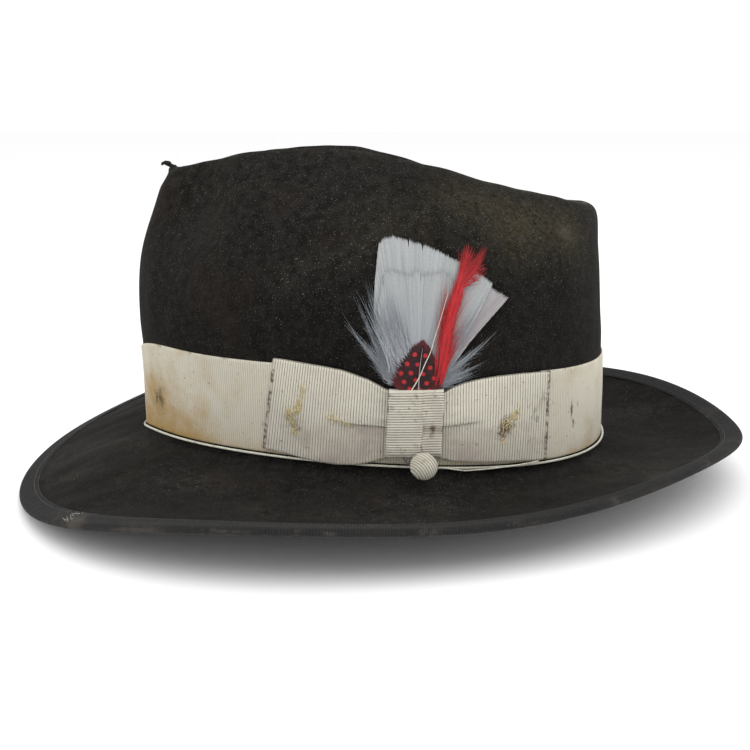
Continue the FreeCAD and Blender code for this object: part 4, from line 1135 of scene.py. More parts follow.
# ------------------------------------------------------------- wind trolley
pc0 = float(angle_at(21.9))
pc = np.linspace(pc0 + 0.5, pc0 + 359.5, 1500)
low = LOW(pc % 360.0)
path = wall(pc % 360.0, (low - 0.6)[:, None], np.full((1500, 1), 1.6))[:, 0]
T = unit(np.gradient(path, axis=0))
Nn = unit(np.cross(T, np.array([0, 0, 1.0])))
Bb = np.cross(T, Nn)
runc = np.concatenate([[0], np.cumsum(np.linalg.norm(np.diff(path, axis=0), axis=1))])
lines = []
for k in range(3):
    a = runc * 2 * math.pi / 3.2 + k * 2 * math.pi / 3
    lines.append(path + (Nn * np.cos(a)[:, None] + Bb * np.sin(a)[:, None]) * 0.24)
threads("wind_trolley_cord", lines, 0.28, CORD, "hat", ["trolley_cord"], 6)

# second thread hanging a little under the rear wing
xs = np.linspace(27.5, 66.0, 60)
zs = -0.9 - 2.0 * np.sin(math.pi * np.clip((xs - 28.0) / 36.0, 0, 1)) - 0.055 * (xs - 27.5)
lines = [near(xs, np.maximum(zs, -2.9), np.full(60, 3.1))]
threads("loose_under_thread", lines, 0.26, CORD, "hat", [], 6)

# -------------------------------------------------------- covered button
BC = np.array([21.9, -95.9, 2.0])
c25, s25 = math.cos(math.radians(25)), math.sin(math.radians(25))
BAX, BUP = np.array([0, -c25, s25]), np.array([0, s25, c25])
BRT = np.cross(BUP, BAX)
RB = 5.1
prof = [(0.0, 3.1), (0.12, 3.09), (0.25, 3.02), (0.38, 2.88), (0.50, 2.68), (0.62, 2.40), (0.73, 2.05), (0.83, 1.62), (0.91, 1.14), (0.97, 0.62),
        (1.0, 0.08), (0.985, -0.42), (0.93, -0.85), (0.84, -1.05), (0.74, -1.08), (0.70, -0.95), (0.74, -0.6)]
pr = np.array(prof)
t = np.linspace(0, len(prof) - 1, 110)
pr = np.stack([np.interp(t, np.arange(len(prof)), pr[:, 0]), np.interp(t, np.arange(len(prof)), pr[:, 1])], 1)
ker = np.ones(5) / 5
for c in (0, 1):
    pr[2:-2, c] = np.convolve(pr[:, c], ker, "valid")
A = np.arange(180) * 2 * math.pi / 180
R2 = pr[1:, 0] * RB
X = np.cos(A)[:, None] * R2[None, :]
Y = np.sin(A)[:, None] * R2[None, :]
H = np.broadcast_to(pr[1:, 1], X.shape)
curve = 0.035 * (X * 0.5 - Y * 0.8) ** 2
ph = cords((X * 0.72 + Y * 0.69 + 0.05 * (X * 0.69 - Y * 0.72) ** 2) / 0.98)
side_ = sm((pr[1:, 1] + 0.5) / 0.8)[None, :]
pleat = 0.12 * np.sin(A * 14)[:, None] * (1 - side_)
lift = 0.22 * ph * (0.35 + 0.65 * side_) + pleat
NRv = np.stack([np.gradient(-pr[:, 1]), np.gradient(pr[:, 0] * RB)], 1)[1:]
NRv /= np.linalg.norm(NRv, axis=1)[:, None]
rad = R2[None, :] + lift * np.abs(NRv[:, 0])[None, :]
hh = H + lift * NRv[:, 1][None, :]
PBt = BC + (np.cos(A)[:, None] * rad)[..., None] * BRT + (np.sin(A)[:, None] * rad)[..., None] * BUP + hh[..., None] * BAX
centre = BC + BAX * 3.12
PA = np.concatenate([PBt.reshape(-1, 3), centre[None]])
n, k = X.shape
caps = [[i * k, len(PA) - 1, ((i + 1) % n) * k] for i in range(n)]
one = lambda a, v: np.concatenate([a.ravel(), [v]])
st = 0.12 + 0.25 * np.clip(waves(PBt, 1.0, 6.0, 120, 2), 0, 1)
# the covering is darker on its turned-under rim
gr = 0.10 + 0.30 * np.clip(waves(PBt, 1.0, 4.0, 121, 2), 0, 1) + 0.4 * (1 - side_) * np.ones(X.shape)
build("button_covering", PA, quads(n, k, True, False), COVER, "button", ["button_cover"],
      {"rib": one(ph, 1.0), "stain": one(np.clip(st, 0, 1), 0.1), "grime": one(np.clip(gr, 0, 1), 0.1)},
      np.concatenate([np.stack([X, Y], -1).reshape(-1, 2) / 10.0, [[0, 0]]]), caps)

# loop of thread that ties the button to the knot
lines = []
for k in range(3):
    a = np.radians(-90 + np.linspace(0, 180, 30))
    off = (k - 1) * 0.30
    L = BC - BAX * (1.75 + 2.0 * np.cos(a))[:, None] + BUP * (2.6 + 1.6 * np.sin(a))[:, None] + BRT * off
    lines.append(L)
threads("button_thread_loop", lines, 0.17, STITCH, "button", ["button_shank"], 5)
L = np.array([[13.6, 4.2, 5.3], [14.4, 2.9, 5.9], [15.0, 2.2, 6.6], [15.9, 2.0, 7.0], [16.3, 2.9, 7.4]])
lines = [near(L[:, 0], L[:, 1], L[:, 2]), near(L[:, 0] + 0.6, L[:, 1] - 0.3, L[:, 2] - 0.3)]
threads("button_loose_thread", lines, 0.13, STITCH, "hat", [], 5)


# -------------------------------------------------------------- the feathers
def bezier(a, b, c, n):
    t = np.linspace(0, 1, n)[:, None]
    return (1 - t) ** 2 * a + 2 * t * (1 - t) * b + t * t * c


def barbs(name, paths, widths, mat, nodes, tones=None, extra=None, lift=None, sharp=0.55, nodes_extra=()):
    """Flat strips along (x, z, d) paths, each a shallow ridge two faces wide."""
    V, F, A, T, EX = [], [], [], [], {}
    base = 0
    for i, L in enumerate(paths):
        n = len(L)
        t = np.linspace(0, 1, n)
        w_ = widths[i] * np.clip(np.minimum(1.0, (1 - t) / sharp + 0.04), 0.04, 1)
        tx = np.gradient(L[:, 0])
        tz = np.gradient(L[:, 1])
        ln = np.hypot(tx, tz) + 1e-9
        nx, nz = -tz / ln, tx / ln
        top = near(L[:, 0], L[:, 1], L[:, 2] + 0.10 * w_ + 0.02)
        a = near(L[:, 0] + nx * w_ * 0.5, L[:, 1] + nz * w_ * 0.5, L[:, 2])
        b = near(L[:, 0] - nx * w_ * 0.5, L[:, 1] - nz * w_ * 0.5, L[:, 2])
        V.append(np.stack([a, top, b], 1).reshape(-1, 3))
        F.append(quads(n, 3) + base)
        A.append(np.repeat(t, 3))
        T.append(np.full(n * 3, 0.0 if tones is None else tones[i]))
        base += n * 3
    V = np.concatenate(V)
    at = {"along": np.concatenate(A), "tone": np.concatenate(T)}
    if extra:
        at.update(extra(V))
    return build(name, V, np.concatenate(F), mat, "feathers", nodes, at)


def fan(outline, left, right, d0, d1, count, width, seed, jitter, bend=0.0, segs=14, split=(), start=(0.0, 0.0)):
    """Barbs from the base line left-right out to points along the outline."""
    r = np.random.default_rng(seed)
    O = np.array(outline, float)
    ln = np.concatenate([[0], np.cumsum(np.linalg.norm(np.diff(O, axis=0), axis=1))])
    out, wd, tn = [], [], []
    for i in range(count):
        t = (i + 0.5) / count
        e = np.array([np.interp(t * ln[-1], ln, O[:, 0]), np.interp(t * ln[-1], ln, O[:, 1])])
        b = np.array(left) * (1 - t) + np.array(right) * t
        e = b + (e - b) * (1 + r.normal() * jitter)
        side = t - 0.5
        c = b + (e - b) * 0.52 + np.array([side * bend, 0])
        L2 = bezier(b, c, e, segs)
        s0 = r.uniform(*start) if start[1] > 0 else 0.0
        if s0 > 0:
            tt = np.linspace(s0, 1, segs)
            L2 = (1 - tt)[:, None] ** 2 * b + 2 * (tt * (1 - tt))[:, None] * c + (tt ** 2)[:, None] * e
        d = np.linspace(d0, d1, segs) + 0.05 * ((i % 3) - 1) + 0.10 * math.sin(i * 0.37)
        for sp in split:
            L2 = L2 + np.array([0.22 if t > sp else -0.22, 0])[None, :] * math.exp(-((t - sp) / 0.012) ** 2) * np.linspace(0, 1, segs)[:, None] ** 3
        out.append(np.concatenate([L2, d[:, None]], 1))
        wd.append(width * (1.0 + 0.15 * r.normal()))
        tn.append(float(np.clip(0.12 + 0.16 * r.normal() + 0.12 * math.sin(i * 0.13), 0, 0.75)))
    return out, wd, tn


BACK = [(3.1, 60.6), (3.3, 66), (3.5, 69.6), (3.9, 74.0), (4.3, 78.3), (4.6, 81.6), (6.3, 83.5), (9.5, 84.3), (12.3, 83.7), (15.9, 82.7), (20.5, 81.5), (21.9, 81.1),
        (26.0, 79.4), (30.2, 77.4), (34.3, 75.2), (38.9, 72.7), (43.1, 70.2), (46.2, 67.7), (44.5, 64.0), (42.0, 59.5)]
SIDE = [(37.5, 72.0), (41.5, 70.0), (45.2, 66.9), (49.0, 64.5), (52.6, 62.4), (50.6, 60.4), (48.5, 58.4), (43.4, 53.0), (38.8, 48.0), (35.1, 43.0), (32.5, 39.5)]
FRONT = [(4.4, 60.0), (5.6, 66.0), (6.9, 71.8), (8.3, 73.2), (10.6, 72.5), (13.5, 71.9), (16.4, 71.8), (18.3, 72.8), (21.4, 72.0), (24.6, 71.9), (27.8, 72.5), (30.5, 71.6), (33.0, 66.0)]
p2, w2, t2 = fan(SIDE, (20.5, 34.0), (25.5, 33.0), 1.7, 3.2, 190, 0.62, 3, 0.004, 2.0, 16)
barbs("feather_side_pad", p2, w2, PINK, [], t2, None, None, 0.04)
p1, w1, t1 = fan(BACK, (11.0, 33.0), (26.0, 33.0), 1.9, 3.9, 330, 0.62, 2, 0.004, 1.0, 20, (0.43, 0.50))
barbs("feather_back_pad", p1, w1, GREY, ["feather_pad_back"], t1, None, None, 0.04)
p3, w3, t3 = fan(FRONT, (11.0, 34.0), (25.0, 34.0), 2.5, 4.3, 240, 0.50, 4, 0.015, 1.5, 18, (0.22, 0.61))
barbs("feather_front_pad", p3, w3, GREY, ["feather_pad_front"], t3, None, None, 0.10)

# loose barbs lying over the pads
r5 = np.random.default_rng(5)
paths, widths, tones = [], [], []
for i in range(150):
    b = np.array([r5.uniform(8.5, 17.0), r5.uniform(36.0, 46.0)])
    ang = math.radians(r5.uniform(96, 122))
    ln_ = r5.uniform(12, 27)
    e = b + ln_ * np.array([math.cos(ang), math.sin(ang)])
    c = (b + e) / 2 + np.array([r5.uniform(-1.5, 0.6), 0])
    L2 = bezier(b, c, e, 12)
    paths.append(np.concatenate([L2, np.linspace(3.6, 4.5, 12)[:, None] + r5.uniform(-0.1, 0.2)], 1))
    widths.append(r5.uniform(0.14, 0.34))
    tones.append(0.0 if i % 3 else r5.uniform(0.4, 1.0))
for i in range(60):
    b = np.array([r5.uniform(26, 32.0), r5.uniform(36.0, 44.0)])
    ang = math.radians(r5.uniform(52, 70))
    ln_ = r5.uniform(10, 24)
    e = b + ln_ * np.array([math.cos(ang), math.sin(ang)])
    L2 = bezier(b, (b + e) / 2 + np.array([r5.uniform(-0.4, 0.8), 0]), e, 12)
    paths.append(np.concatenate([L2, np.linspace(3.3, 3.9, 12)[:, None]], 1))
    widths.append(r5.uniform(0.14, 0.28))
    tones.append(r5.uniform(0, 0.6))
barbs("feather_loose_barbs", paths, widths, DOWN, [], tones, None, None, 0.9)


def fluff(name, node, tips, roots, count, seed, d0, d1, hair=260):
    r = np.random.default_rng(seed)
    paths, widths, tones = [], [], []
    tips = np.array(tips, float)
    for i in range(count):
        j = r.integers(len(tips))
        tip = tips[j] + r.normal(size=2) * 0.9
        a, b_ = roots
        q = r.uniform()
        root = np.array(a) * (1 - q) + np.array(b_) * q + r.normal(size=2) * 0.4
        f = r.uniform(0.45, 1.0)
        e = root + (tip - root) * f
        c = (root + e) / 2 + r.normal(size=2) * 1.0 + np.array([0, -0.8])
        L2 = bezier(root, c, e, 13)
        paths.append(np.concatenate([L2, np.linspace(d0, mix(d0, d1, f), 13)[:, None] + r.uniform(-0.25, 0.25)], 1))
        widths.append(r.uniform(0.12, 0.36))
        tones.append(r.uniform(0, 0.9))
        # short downy side hairs
    for i in range(hair):
        L = paths[r.integers(count)]
        k = r.integers(2, 9)
        p_, q_ = L[k, :2], L[k + 2, :2]
        dr = unit((q_ - p_)[None])[0]
        ang = r.choice([-1, 1]) * math.radians(r.uniform(14, 38))
        dr = np.array([dr[0] * math.cos(ang) - dr[1] * math.sin(ang), dr[0] * math.sin(ang) + dr[1] * math.cos(ang)])
        ln_ = r.uniform(1.5, 5.0)
        L2 = bezier(p_, p_ + dr * ln_ * 0.5 + r.normal(size=2) * 0.15, p_ + dr * ln_, 6)
        paths.append(np.concatenate([L2, np.linspace(L[k, 2], L[k, 2] + 0.15, 6)[:, None]], 1))
        widths.append(r.uniform(0.05, 0.13))
        tones.append(r.uniform(0.2, 1.0))
    barbs(name, paths, widths, DOWN, [node], tones, None, None, 1.0)


LEFT_TIPS = [(-11.4, 59.6), (-5.0, 65.9), (-5.0, 65.0), (-0.9, 69.5), (0.2, 70.2), (1.0, 70.7), (1.8, 71.0), (2.8, 71.3), (-1.8, 66.0), (0.5, 66.5), (-8.1, 56.1), (-2.8, 56.3),
             (1.5, 62.0), (2.0, 58.0), (-1.2, 50.5), (0.6, 47.3), (0.2, 42.7), (1.6, 38.5), (0.0, 45.0), (3.0, 52.0), (3.5, 47.0), (2.2, 43.5), (4.0, 55.0), (5.0, 60.0)]
RIGHT_TIPS = [(50.7, 52.3), (46.5, 49.6), (45.2, 40.2), (45.3, 35.9), (43.5, 38.5), (41.5, 43.0), (40.5, 45.5), (37.7, 42.3), (35.0, 43.3), (39.7, 33.7), (41.0, 36.5), (36.0, 40.0), (33.8, 32.2), (36.5, 35.5)]
fluff("fluff_left", "fluff_front", LEFT_TIPS, ((9.2, 32.0), (12.8, 33.0)), 230, 6, 1.8, 3.0, 700)
fluff("fluff_right", "fluff_rear", RIGHT_TIPS, ((24.8, 31.0), (27.5, 33.0)), 150, 7, 2.9, 3.7, 420)

# red hackle
HC = np.array([(26.3, 31.0), (27.3, 34.8), (27.9, 38.4), (28.5, 42.9), (29.5, 49.7), (31.5, 58.4), (33.5, 65.7), (35.0, 71.6), (35.9, 75.2), (36.4, 78.8)])
hl = np.concatenate([[0], np.cumsum(np.linalg.norm(np.diff(HC, axis=0), axis=1))])
hx = lambda s_: np.array([np.interp(s_, hl, HC[:, 0]), np.interp(s_, hl, HC[:, 1])])
r8 = np.random.default_rng(8)
paths, widths, tones = [], [], []
for i in range(620):
    s0 = hl[-1] * r8.uniform(0.0, 0.80) ** 0.85
    b = hx(s0)
    t_ = unit((hx(s0 + 1.0) - hx(max(0.0, s0 - 1.0)))[None])[0]
    sd = r8.choice([-1, 1])
    spread = math.radians(r8.uniform(1.5, 9.5)) * sd
    if r8.uniform() < 0.10:
        spread *= 2.0
    dr = np.array([t_[0] * math.cos(spread) - t_[1] * math.sin(spread), t_[0] * math.sin(spread) + t_[1] * math.cos(spread)])
    ln_ = r8.uniform(8, 19) * (1 - 0.25 * s0 / hl[-1])
    start = b + np.array([-t_[1], t_[0]]) * sd * r8.uniform(0, 1.5) * (1 - 0.55 * s0 / hl[-1])
    e = start + dr * ln_
    c = start + t_ * ln_ * 0.5
    L2 = bezier(start, c, e, 12)
    if L2[:, 1].max() > 80.5:
        continue
    paths.append(np.concatenate([L2, (4.7 + 1.5 * L2[:, 1] / 80.0 - 0.6)[:, None] + r8.uniform(-0.25, 0.3)], 1))
    widths.append(r8.uniform(0.12, 0.30))
    tones.append(float(np.clip(r8.normal(0.2, 0.35), 0, 1)))
for tip in [(36.8, 79.2), (36.2, 79.6), (34.6, 78.6), (37.2, 77.4), (39.1, 75.9), (41.0, 77.6), (42.8, 79.4), (43.2, 78.0), (42.6, 76.8), (41.6, 75.2), (42.6, 73.4), (42.2, 70.5), (43.6, 71.6), (40.9, 68.4), (39.4, 73.1)]:
    for q in range(9):
        b = hx(hl[-1] * r8.uniform(0.74, 0.88)) + r8.normal(size=2) * 0.5
        e = np.array(tip) + r8.normal(size=2) * 0.55
        L2 = bezier(b, (b + e) / 2 + np.array([0.4, -0.4]) + r8.normal(size=2) * 0.3, e, 10)
        paths.append(np.concatenate([L2, np.linspace(5.4, 6.4, 10)[:, None] + r8.uniform(-0.2, 0.2)], 1))
        widths.append(r8.uniform(0.16, 0.36))
        tones.append(r8.uniform(0, 0.9))
# thin stray red barbs to both sides of the hackle
for i in range(190):
    b = hx(hl[-1] * r8.uniform(0.05, 0.55)) + np.array([r8.uniform(-2.5, 1.0), 0])
    if i % 3 == 0:
        e = b + r8.uniform(10, 20) * np.array([math.cos(math.radians(58 + r8.uniform(-9, 9))), math.sin(math.radians(58))])
    else:
        e = b + r8.uniform(12, 26) * np.array([math.cos(math.radians(88 + r8.uniform(-7, 7))), 1.0])
    if e[1] > 73:
        continue
    L2 = bezier(b, (b + e) / 2, e, 9)
    paths.append(np.concatenate([L2, np.linspace(4.3, 4.9, 9)[:, None]], 1))
    widths.append(r8.uniform(0.05, 0.13))
    tones.append(r8.uniform(0, 0.4))
barbs("red_hackle_barbs", paths, widths, REDF, ["red_hackle"], tones, None, None, 0.8)

# guinea feather with round spots
GO = [(9.8, 31.5), (10.6, 34.6), (11.2, 37.6), (12.3, 40.4), (14.2, 42.6), (16.2, 44.8), (18.2, 46.4), (21.2, 48.4), (23.6, 45.4), (25.2, 41.4), (26.7, 37.6), (27.9, 33.6), (27.9, 30.0)]
DOTS = [(18.0, 43.0), (21.8, 42.5), (15.3, 39.6), (19.1, 39.3), (23.6, 38.1), (13.1, 36.1), (16.7, 36.2), (21.0, 35.8), (25.1, 34.1), (14.2, 32.9), (18.5, 33.5), (22.4, 32.3), (16.3, 30.2), (19.7, 30.0), (23.3, 29.4)]
dots3 = near(np.array([q[0] for q in DOTS]), np.array([q[1] for q in DOTS]), np.full(len(DOTS), 4.3))


def dot_mask(V):
    d = np.linalg.norm(V[:, None] - dots3[None], axis=2).min(1)
    mid_ = near(np.array([19.0]), np.array([37.0]), np.array([4.2]))[0]
    e = np.linalg.norm((V - mid_) / np.array([7.0, 40.0, 9.5]), axis=1)
    return {"dot": 1 - sm((d - 0.62) / 0.40), "edge": sm((e - 0.8) / 0.4)}


paths, widths, tones = [], [], []
r9 = np.random.default_rng(9)
for sd in (-1, 1):
    for i in range(120):
        f = i / 119.0
        root = np.array([mix(19.0, 20.8, f), mix(28.0, 46.0, f)])
        O = np.array(GO)
        half = O[:8] if sd < 0 else O[7:][::-1]
        hl2 = np.concatenate([[0], np.cumsum(np.linalg.norm(np.diff(half, axis=0), axis=1))])
        e = np.array([np.interp(f * hl2[-1], hl2, half[:, 0]), np.interp(f * hl2[-1], hl2, half[:, 1])])
        e = root + (e - root) * (0.98 + 0.085 * r9.normal())
        L2 = bezier(root, (root + e) / 2 + np.array([sd * 0.4, -0.9]), e, 26)
        paths.append(np.concatenate([L2, (3.75 + 0.5 * np.sin(np.linspace(0, 3.14, 26)) + 0.03 * (i % 3))[:, None]], 1))
        widths.append(0.34)
        tones.append(0.0)
barbs("guinea_spotted_feather", paths, widths, GUINEA, ["guinea_feather"], tones, dot_mask, None, 0.12)

# bare white quill in front, and the shafts of the pads
QL = np.array([(16.4, 28.8, 4.6), (16.9, 29.7, 4.7), (19.8, 34.8, 4.9), (21.5, 39.4, 5.0), (23.7, 43.9, 5.0), (25.0, 49.3, 5.1), (27.2, 56.3, 5.4), (28.9, 62.4, 5.5), (29.6, 64.5, 5.5)])
tt = np.linspace(0, 8, 60)
QS = np.stack([np.interp(tt, np.arange(9), QL[:, c]) for c in range(3)], 1)
for c in range(3):
    QS[3:-3, c] = np.convolve(QS[:, c], np.ones(7) / 7, "valid")
threads("bare_quill", [near(QS[:, 0], QS[:, 1], QS[:, 2])], [np.linspace(0.24, 0.07, 60)], WHITE, "feathers", [], 6)
lines, rad_ = [], []
for x0, z0, x1, z1, d0_, d1_ in ((17.0, 34.0, 13.5, 78.0, 2.6, 4.2), (21.0, 34.0, 27.5, 66.0, 3.2, 4.5), (24.5, 34.0, 44.0, 62.0, 2.4, 3.5), (19.5, 30.0, 20.8, 45.5, 4.2, 4.6)):
    L2 = bezier(np.array([x0, z0]), np.array([(x0 + x1) / 2 - 0.6, (z0 + z1) / 2]), np.array([x1, z1]), 24)
    dd_ = np.linspace(d0_, d1_, 24)
    lines.append(near(L2[:, 0], L2[:, 1], dd_))
    rad_.append(np.linspace(0.26, 0.05, 24))
threads("feather_shafts", lines, rad_, DOWN, "feathers", ["feather_quills"], 6)
# flat stems that run down behind the bow, and the thread wound round them
lines, rad_ = [], []
for i in range(9):
    x0 = 13.2 + i * 1.5
    L = np.array([(x0 + 0.3 * math.sin(i), z_, 1.62) for z_ in np.linspace(12.4, 40.0, 20)])
    lines.append(near(L[:, 0], L[:, 1], L[:, 2]))
    rad_.append(np.linspace(0.34, 0.30, 20))
threads("feather_stems", lines, rad_, DOWN, "feathers", [], 6)
lines = []
for i in range(13):
    z_ = 34.2 + i * 0.42
    xs_ = np.linspace(11.8, 26.2, 30)
    up = near(xs_, z_ + 0.10 * np.sin(xs_ * 1.3 + i), np.full(30, 2.15))
    dn = near(xs_[::-1], z_ + 0.2 + 0 * xs_, np.full(30, 1.35))
    lines.append(np.concatenate([up, dn]))
threads("feather_thread_winding", lines, 0.17, STITCH, "feathers", ["feather_binding"], 5)

# ------------------------------------------------------- inside of the hat
BASE = -1.8


def inside_strip(name, nodes, mat, lo_add, hi_add, d_out, d_in, cols, rows, seam, gap, shape=None, attrs=None):
    ps = seam + gap + (360.0 - 2 * gap) * np.arange(cols) / (cols - 1.0)
    low_ = LOW(ps % 360.0)
    g_ = np.linspace(0, 1, rows)
    e = np.minimum(1.0, np.minimum(g_, 1 - g_) / 0.03)
    zf = low_[:, None] + lo_add + (hi_add - lo_add) * g_[None, :]
    di = np.broadcast_to(d_in + (d_out - d_in) * 0.35 * (1 - e), zf.shape).copy()
    do = np.full(zf.shape, d_out)
    if shape is not None:
        di = di + shape(ps[:, None], g_[None, :])
    Zz = np.concatenate([zf, zf[:, ::-1]], 1)
    Dd = np.concatenate([di, do[:, ::-1]], 1)
    P = wall(ps % 360.0, Zz, Dd)
    G = np.concatenate([np.broadcast_to(g_, zf.shape), np.broadcast_to(g_[::-1], zf.shape)], 1)
    at = {"edge": gauss(G, 0, 0.05) + gauss(G, 1, 0.05), "rib": np.ones(G.shape), "stain": 0.3 + 0 * G, "grime": 0.2 + 0 * G}
    UV = np.stack([np.broadcast_to((ps * 1.6)[:, None] / 10.0, G.shape), G * 4.0], -1)
    return loop_strip(name, P, mat, "hat", nodes, at, UV, False)


SWT = 1.1
inside_strip("leather_sweatband", ["sweatband"], LEATHER, 1.7, 46.0, BASE - 1.18, BASE - 1.15 - SWT, 400, 30, 0.0, 0.22,
             lambda p_, g_: -0.12 * np.sin(np.radians(p_) * 9 + g_ * 2) * g_ - 0.10 * gauss(g_, 0.1, 0.012))
TAPE = ribbon_material("reed_tape_weave", srgb(70, 66, 60), srgb(22, 20, 18), srgb(90, 74, 52), srgb(30, 26, 22), 0.5)
inside_strip("reed_binding", ["reed_tape"], TAPE, 1.45, 5.35, BASE - 0.22, BASE - 0.93, 360, 12, 0.0, 0.5)
lines = []
for k in range(300):
    a = 0.6 + 358.8 * (k + np.array([0.12, 0.35, 0.65, 0.88])) / 300.0
    zz = LOW(a % 360.0) + 6.0 + np.array([0, 0.35, 0.35, 0])
    lines.append(wall(a % 360.0, zz[:, None], np.array([BASE - 2.2, BASE - 2.46, BASE - 2.46, BASE - 2.2])[:, None])[:, 0])
for k in range(28):
    z0 = 4.0 + k * 1.5
    for sd in (-1, 1):
        a = np.array([sd * 0.35, sd * 0.6, sd * 1.0, sd * 1.25]) % 360.0
        zz = LOW(a) + z0 + np.array([0, 0.3, 0.7, 1.0])
        lines.append(wall(a, zz[:, None], np.array([BASE - 2.2, BASE - 2.48, BASE - 2.48, BASE - 2.2])[:, None])[:, 0])
threads("sweatband_stitches", lines, 0.15, WHITE, "hat", [], 4)

# lining: gathered side and an oval tip
cols, rows = 480, 40
ps = 90.2 + 359.6 * np.arange(cols) / (cols - 1.0)
v0 = wall_v(ps % 360.0, (LOW(ps % 360.0) + 6.5)[:, None])
vv = v0 + (V_CREST + 4.6 - v0) * np.linspace(0, 1, rows)[None, :]
g_ = np.linspace(0, 1, rows)[None, :]
pleats = (0.5 + 0.5 * np.sin(np.radians(ps) * 96 + 1.5 * np.sin(np.radians(ps) * 7)))[:, None] * sm((g_ - 0.35) / 0.6) * 0.26
PPs = np.broadcast_to((ps % 360.0)[:, None], vv.shape)
inn = S(PPs, vv, BASE - 0.52 - pleats)
out_ = S(PPs, vv, np.full(vv.shape, BASE - 0.32))
loop_strip("lining_gathered_side", np.concatenate([inn, out_[:, ::-1]], 1), SATIN, "hat", ["lining_side"],
           {"edge": np.zeros((cols, rows * 2))}, None, False)
cols = 240
vt = np.concatenate([np.linspace(0.5, V_CREST + 3.6, 70), [V_CREST + 4.0, V_CREST + 4.25]])
pt = np.arange(cols) * 360.0 / cols
A_, B_ = np.meshgrid(pt, vt, indexing="ij")
puff = 0.10 * waves(S(A_, B_), 1.0, 16.0, 140, 2)
low_face = S(A_, B_, BASE - 0.93 - np.clip(puff, 0, 0.2))
up_face = S(A_, B_, np.full(A_.shape, BASE - 0.57))
c1, c2 = low_face[:, 0].mean(0), up_face[:, 0].mean(0)
ring = np.concatenate([low_face, up_face[:, ::-1]], 1)
n, k = ring.shape[:2]
PA = np.concatenate([ring.reshape(-1, 3), c1[None], c2[None]])
caps = [[i * k, len(PA) - 2, ((i + 1) % n) * k] for i in range(n)] + [[i * k + k - 1, ((i + 1) % n) * k + k - 1, len(PA) - 1] for i in range(n)]
build("lining_oval_tip", PA, quads(n, k, True, False), SATIN, "hat", ["lining_tip"], {"edge": np.zeros(len(PA))}, None, caps)
lines = []
for j in range(180):
    a = (j + np.array([0.15, 0.4, 0.6, 0.85])) * 2.0
    lines.append(S(a, np.full(4, V_CREST + 3.9), BASE - 0.93 - np.array([0.0, 0.2, 0.2, 0.0])))
threads("lining_tip_stitches", lines, 0.13, WHITE, "hat", [], 4)


# small ribbon bow tacked over the sweatband's rear seam
def rear_pts(y, z, d):
    p_ = np.degrees(np.arcsin(np.clip(y / 70.0, -1, 1))) % 360.0
    sh = p_.shape
    p_, z, d = np.broadcast_arrays(p_, z, d)
    v = wall_v(p_.ravel(), z.reshape(-1, 1)).reshape(p_.shape)
    return S(p_, v, -d)


f = np.linspace(0, 1, 90)
y = mix(-11.0, 11.0, f)
half = 1.2 + 1.3 * np.abs(f - 0.5) * 2
half = np.where(np.abs(f - 0.5) < 0.05, 1.0, half)
g_ = np.linspace(-1, 1, 15)
Y_, G_ = np.meshgrid(y, g_, indexing="ij")
Zb = 3.4 + half[:, None] * G_
cord_ = cords(f * 22.0)[:, None]
knot_ = np.exp(-((f - 0.5) / 0.055) ** 2)[:, None]
dfc = 1.8 + 1.15 + SWT + 0.45 + 0.62 + 0.14 * cord_ + 0.30 * knot_ + 0.16 * np.cos(G_ * 4.0) * (1 - knot_)
fr = rear_pts(Y_, Zb, dfc)
bk = rear_pts(Y_, Zb, np.full(Y_.shape, 1.8 + 1.15 + SWT + 0.45))
rb_ = np.concatenate([np.broadcast_to(cord_, Y_.shape), np.zeros(Y_.shape)], 1)
loop_strip("sweatband_little_bow", np.concatenate([fr, bk[:, ::-1]], 1), TAPE, "hat", ["sweat_bow"],
           {"rib": rb_, "stain": 0.2 + 0 * rb_, "grime": 0.2 + 0 * rb_, "edge": 0 * rb_},
           np.stack([np.broadcast_to((f * 2.2)[:, None], rb_.shape), np.broadcast_to(np.linspace(0, 1, 30), rb_.shape)], -1), False)

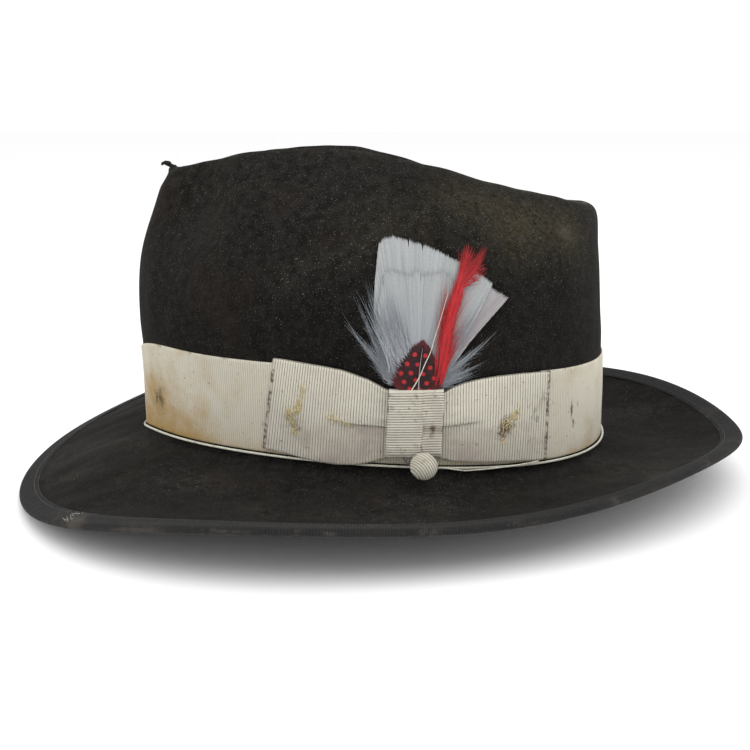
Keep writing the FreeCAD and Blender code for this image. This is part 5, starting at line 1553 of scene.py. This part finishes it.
# the pressed mould inside the button keeps its shape from the frame
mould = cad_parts["button_mould"]
mould.data.materials.clear()
mould.data.materials.append(MOULD)
for pgon in mould.data.polygons:
    pgon.use_smooth = True

# ------------------------------------------------------------- floor, light
me = bpy.data.meshes.new("floor")
s_ = 6.0
me.from_pydata([(-s_, -s_, 0), (s_, -s_, 0), (s_, s_, 0), (-s_, s_, 0)], [], [(0, 1, 2, 3)])
floor = bpy.data.objects.new("floor", me)
bpy.context.scene.collection.objects.link(floor)
fm = Mat("floor_white", 0.9, 0, 0.5, None, 0.1)
floor.data.materials.append(fm.done(fm.mix(fm.noise(3.0, 2), (0.975, 0.975, 0.975, 1), (0.985, 0.985, 0.985, 1))))
world = bpy.data.worlds.new("soft_white")
bpy.context.scene.world = world
world.use_nodes = True
world.node_tree.nodes["Background"].inputs[0].default_value = (1.0, 1.0, 1.0, 1)
world.node_tree.nodes["Background"].inputs[1].default_value = 1.0


def lamp(name, loc, aim, size, power, colour=(1, 1, 1)):
    l = bpy.data.lights.new(name, "AREA")
    l.shape = "SQUARE"
    l.size = size
    l.energy = power
    l.color = colour
    o = bpy.data.objects.new(name, l)
    o.location = loc
    from mathutils import Vector
    o.rotation_euler = (Vector(aim) - Vector(loc)).to_track_quat("-Z", "Y").to_euler()
    bpy.context.scene.collection.objects.link(o)


lamp("key_top", (0.25, -0.55, 1.35), (0, 0, 0.08), 1.4, 9.0)
lamp("fill_left", (-1.2, -0.7, 0.7), (0, 0, 0.08), 1.0, 3.0)
lamp("fill_right", (1.2, -0.4, 0.8), (0, 0, 0.08), 1.0, 2.5)

cam = bpy.data.cameras.new("camera")
cam.lens = 54.09
cam.sensor_width = 36.0
cam.sensor_fit = "HORIZONTAL"
cam.clip_start = 0.01
co = bpy.data.objects.new("camera", cam)
co.location = ((14.094 + SHIFT[0]) / 1000.0, -0.499802, (135.0 + SHIFT[2]) / 1000.0)
co.rotation_euler = (math.radians(90.0 - 13.605), 0, math.asin(0.02606))
bpy.context.scene.collection.objects.link(co)
bpy.context.scene.camera = co
bpy.context.scene.view_settings.view_transform = "Standard"
bpy.context.scene.view_settings.look = "None"

bpy.context.view_layer.update()
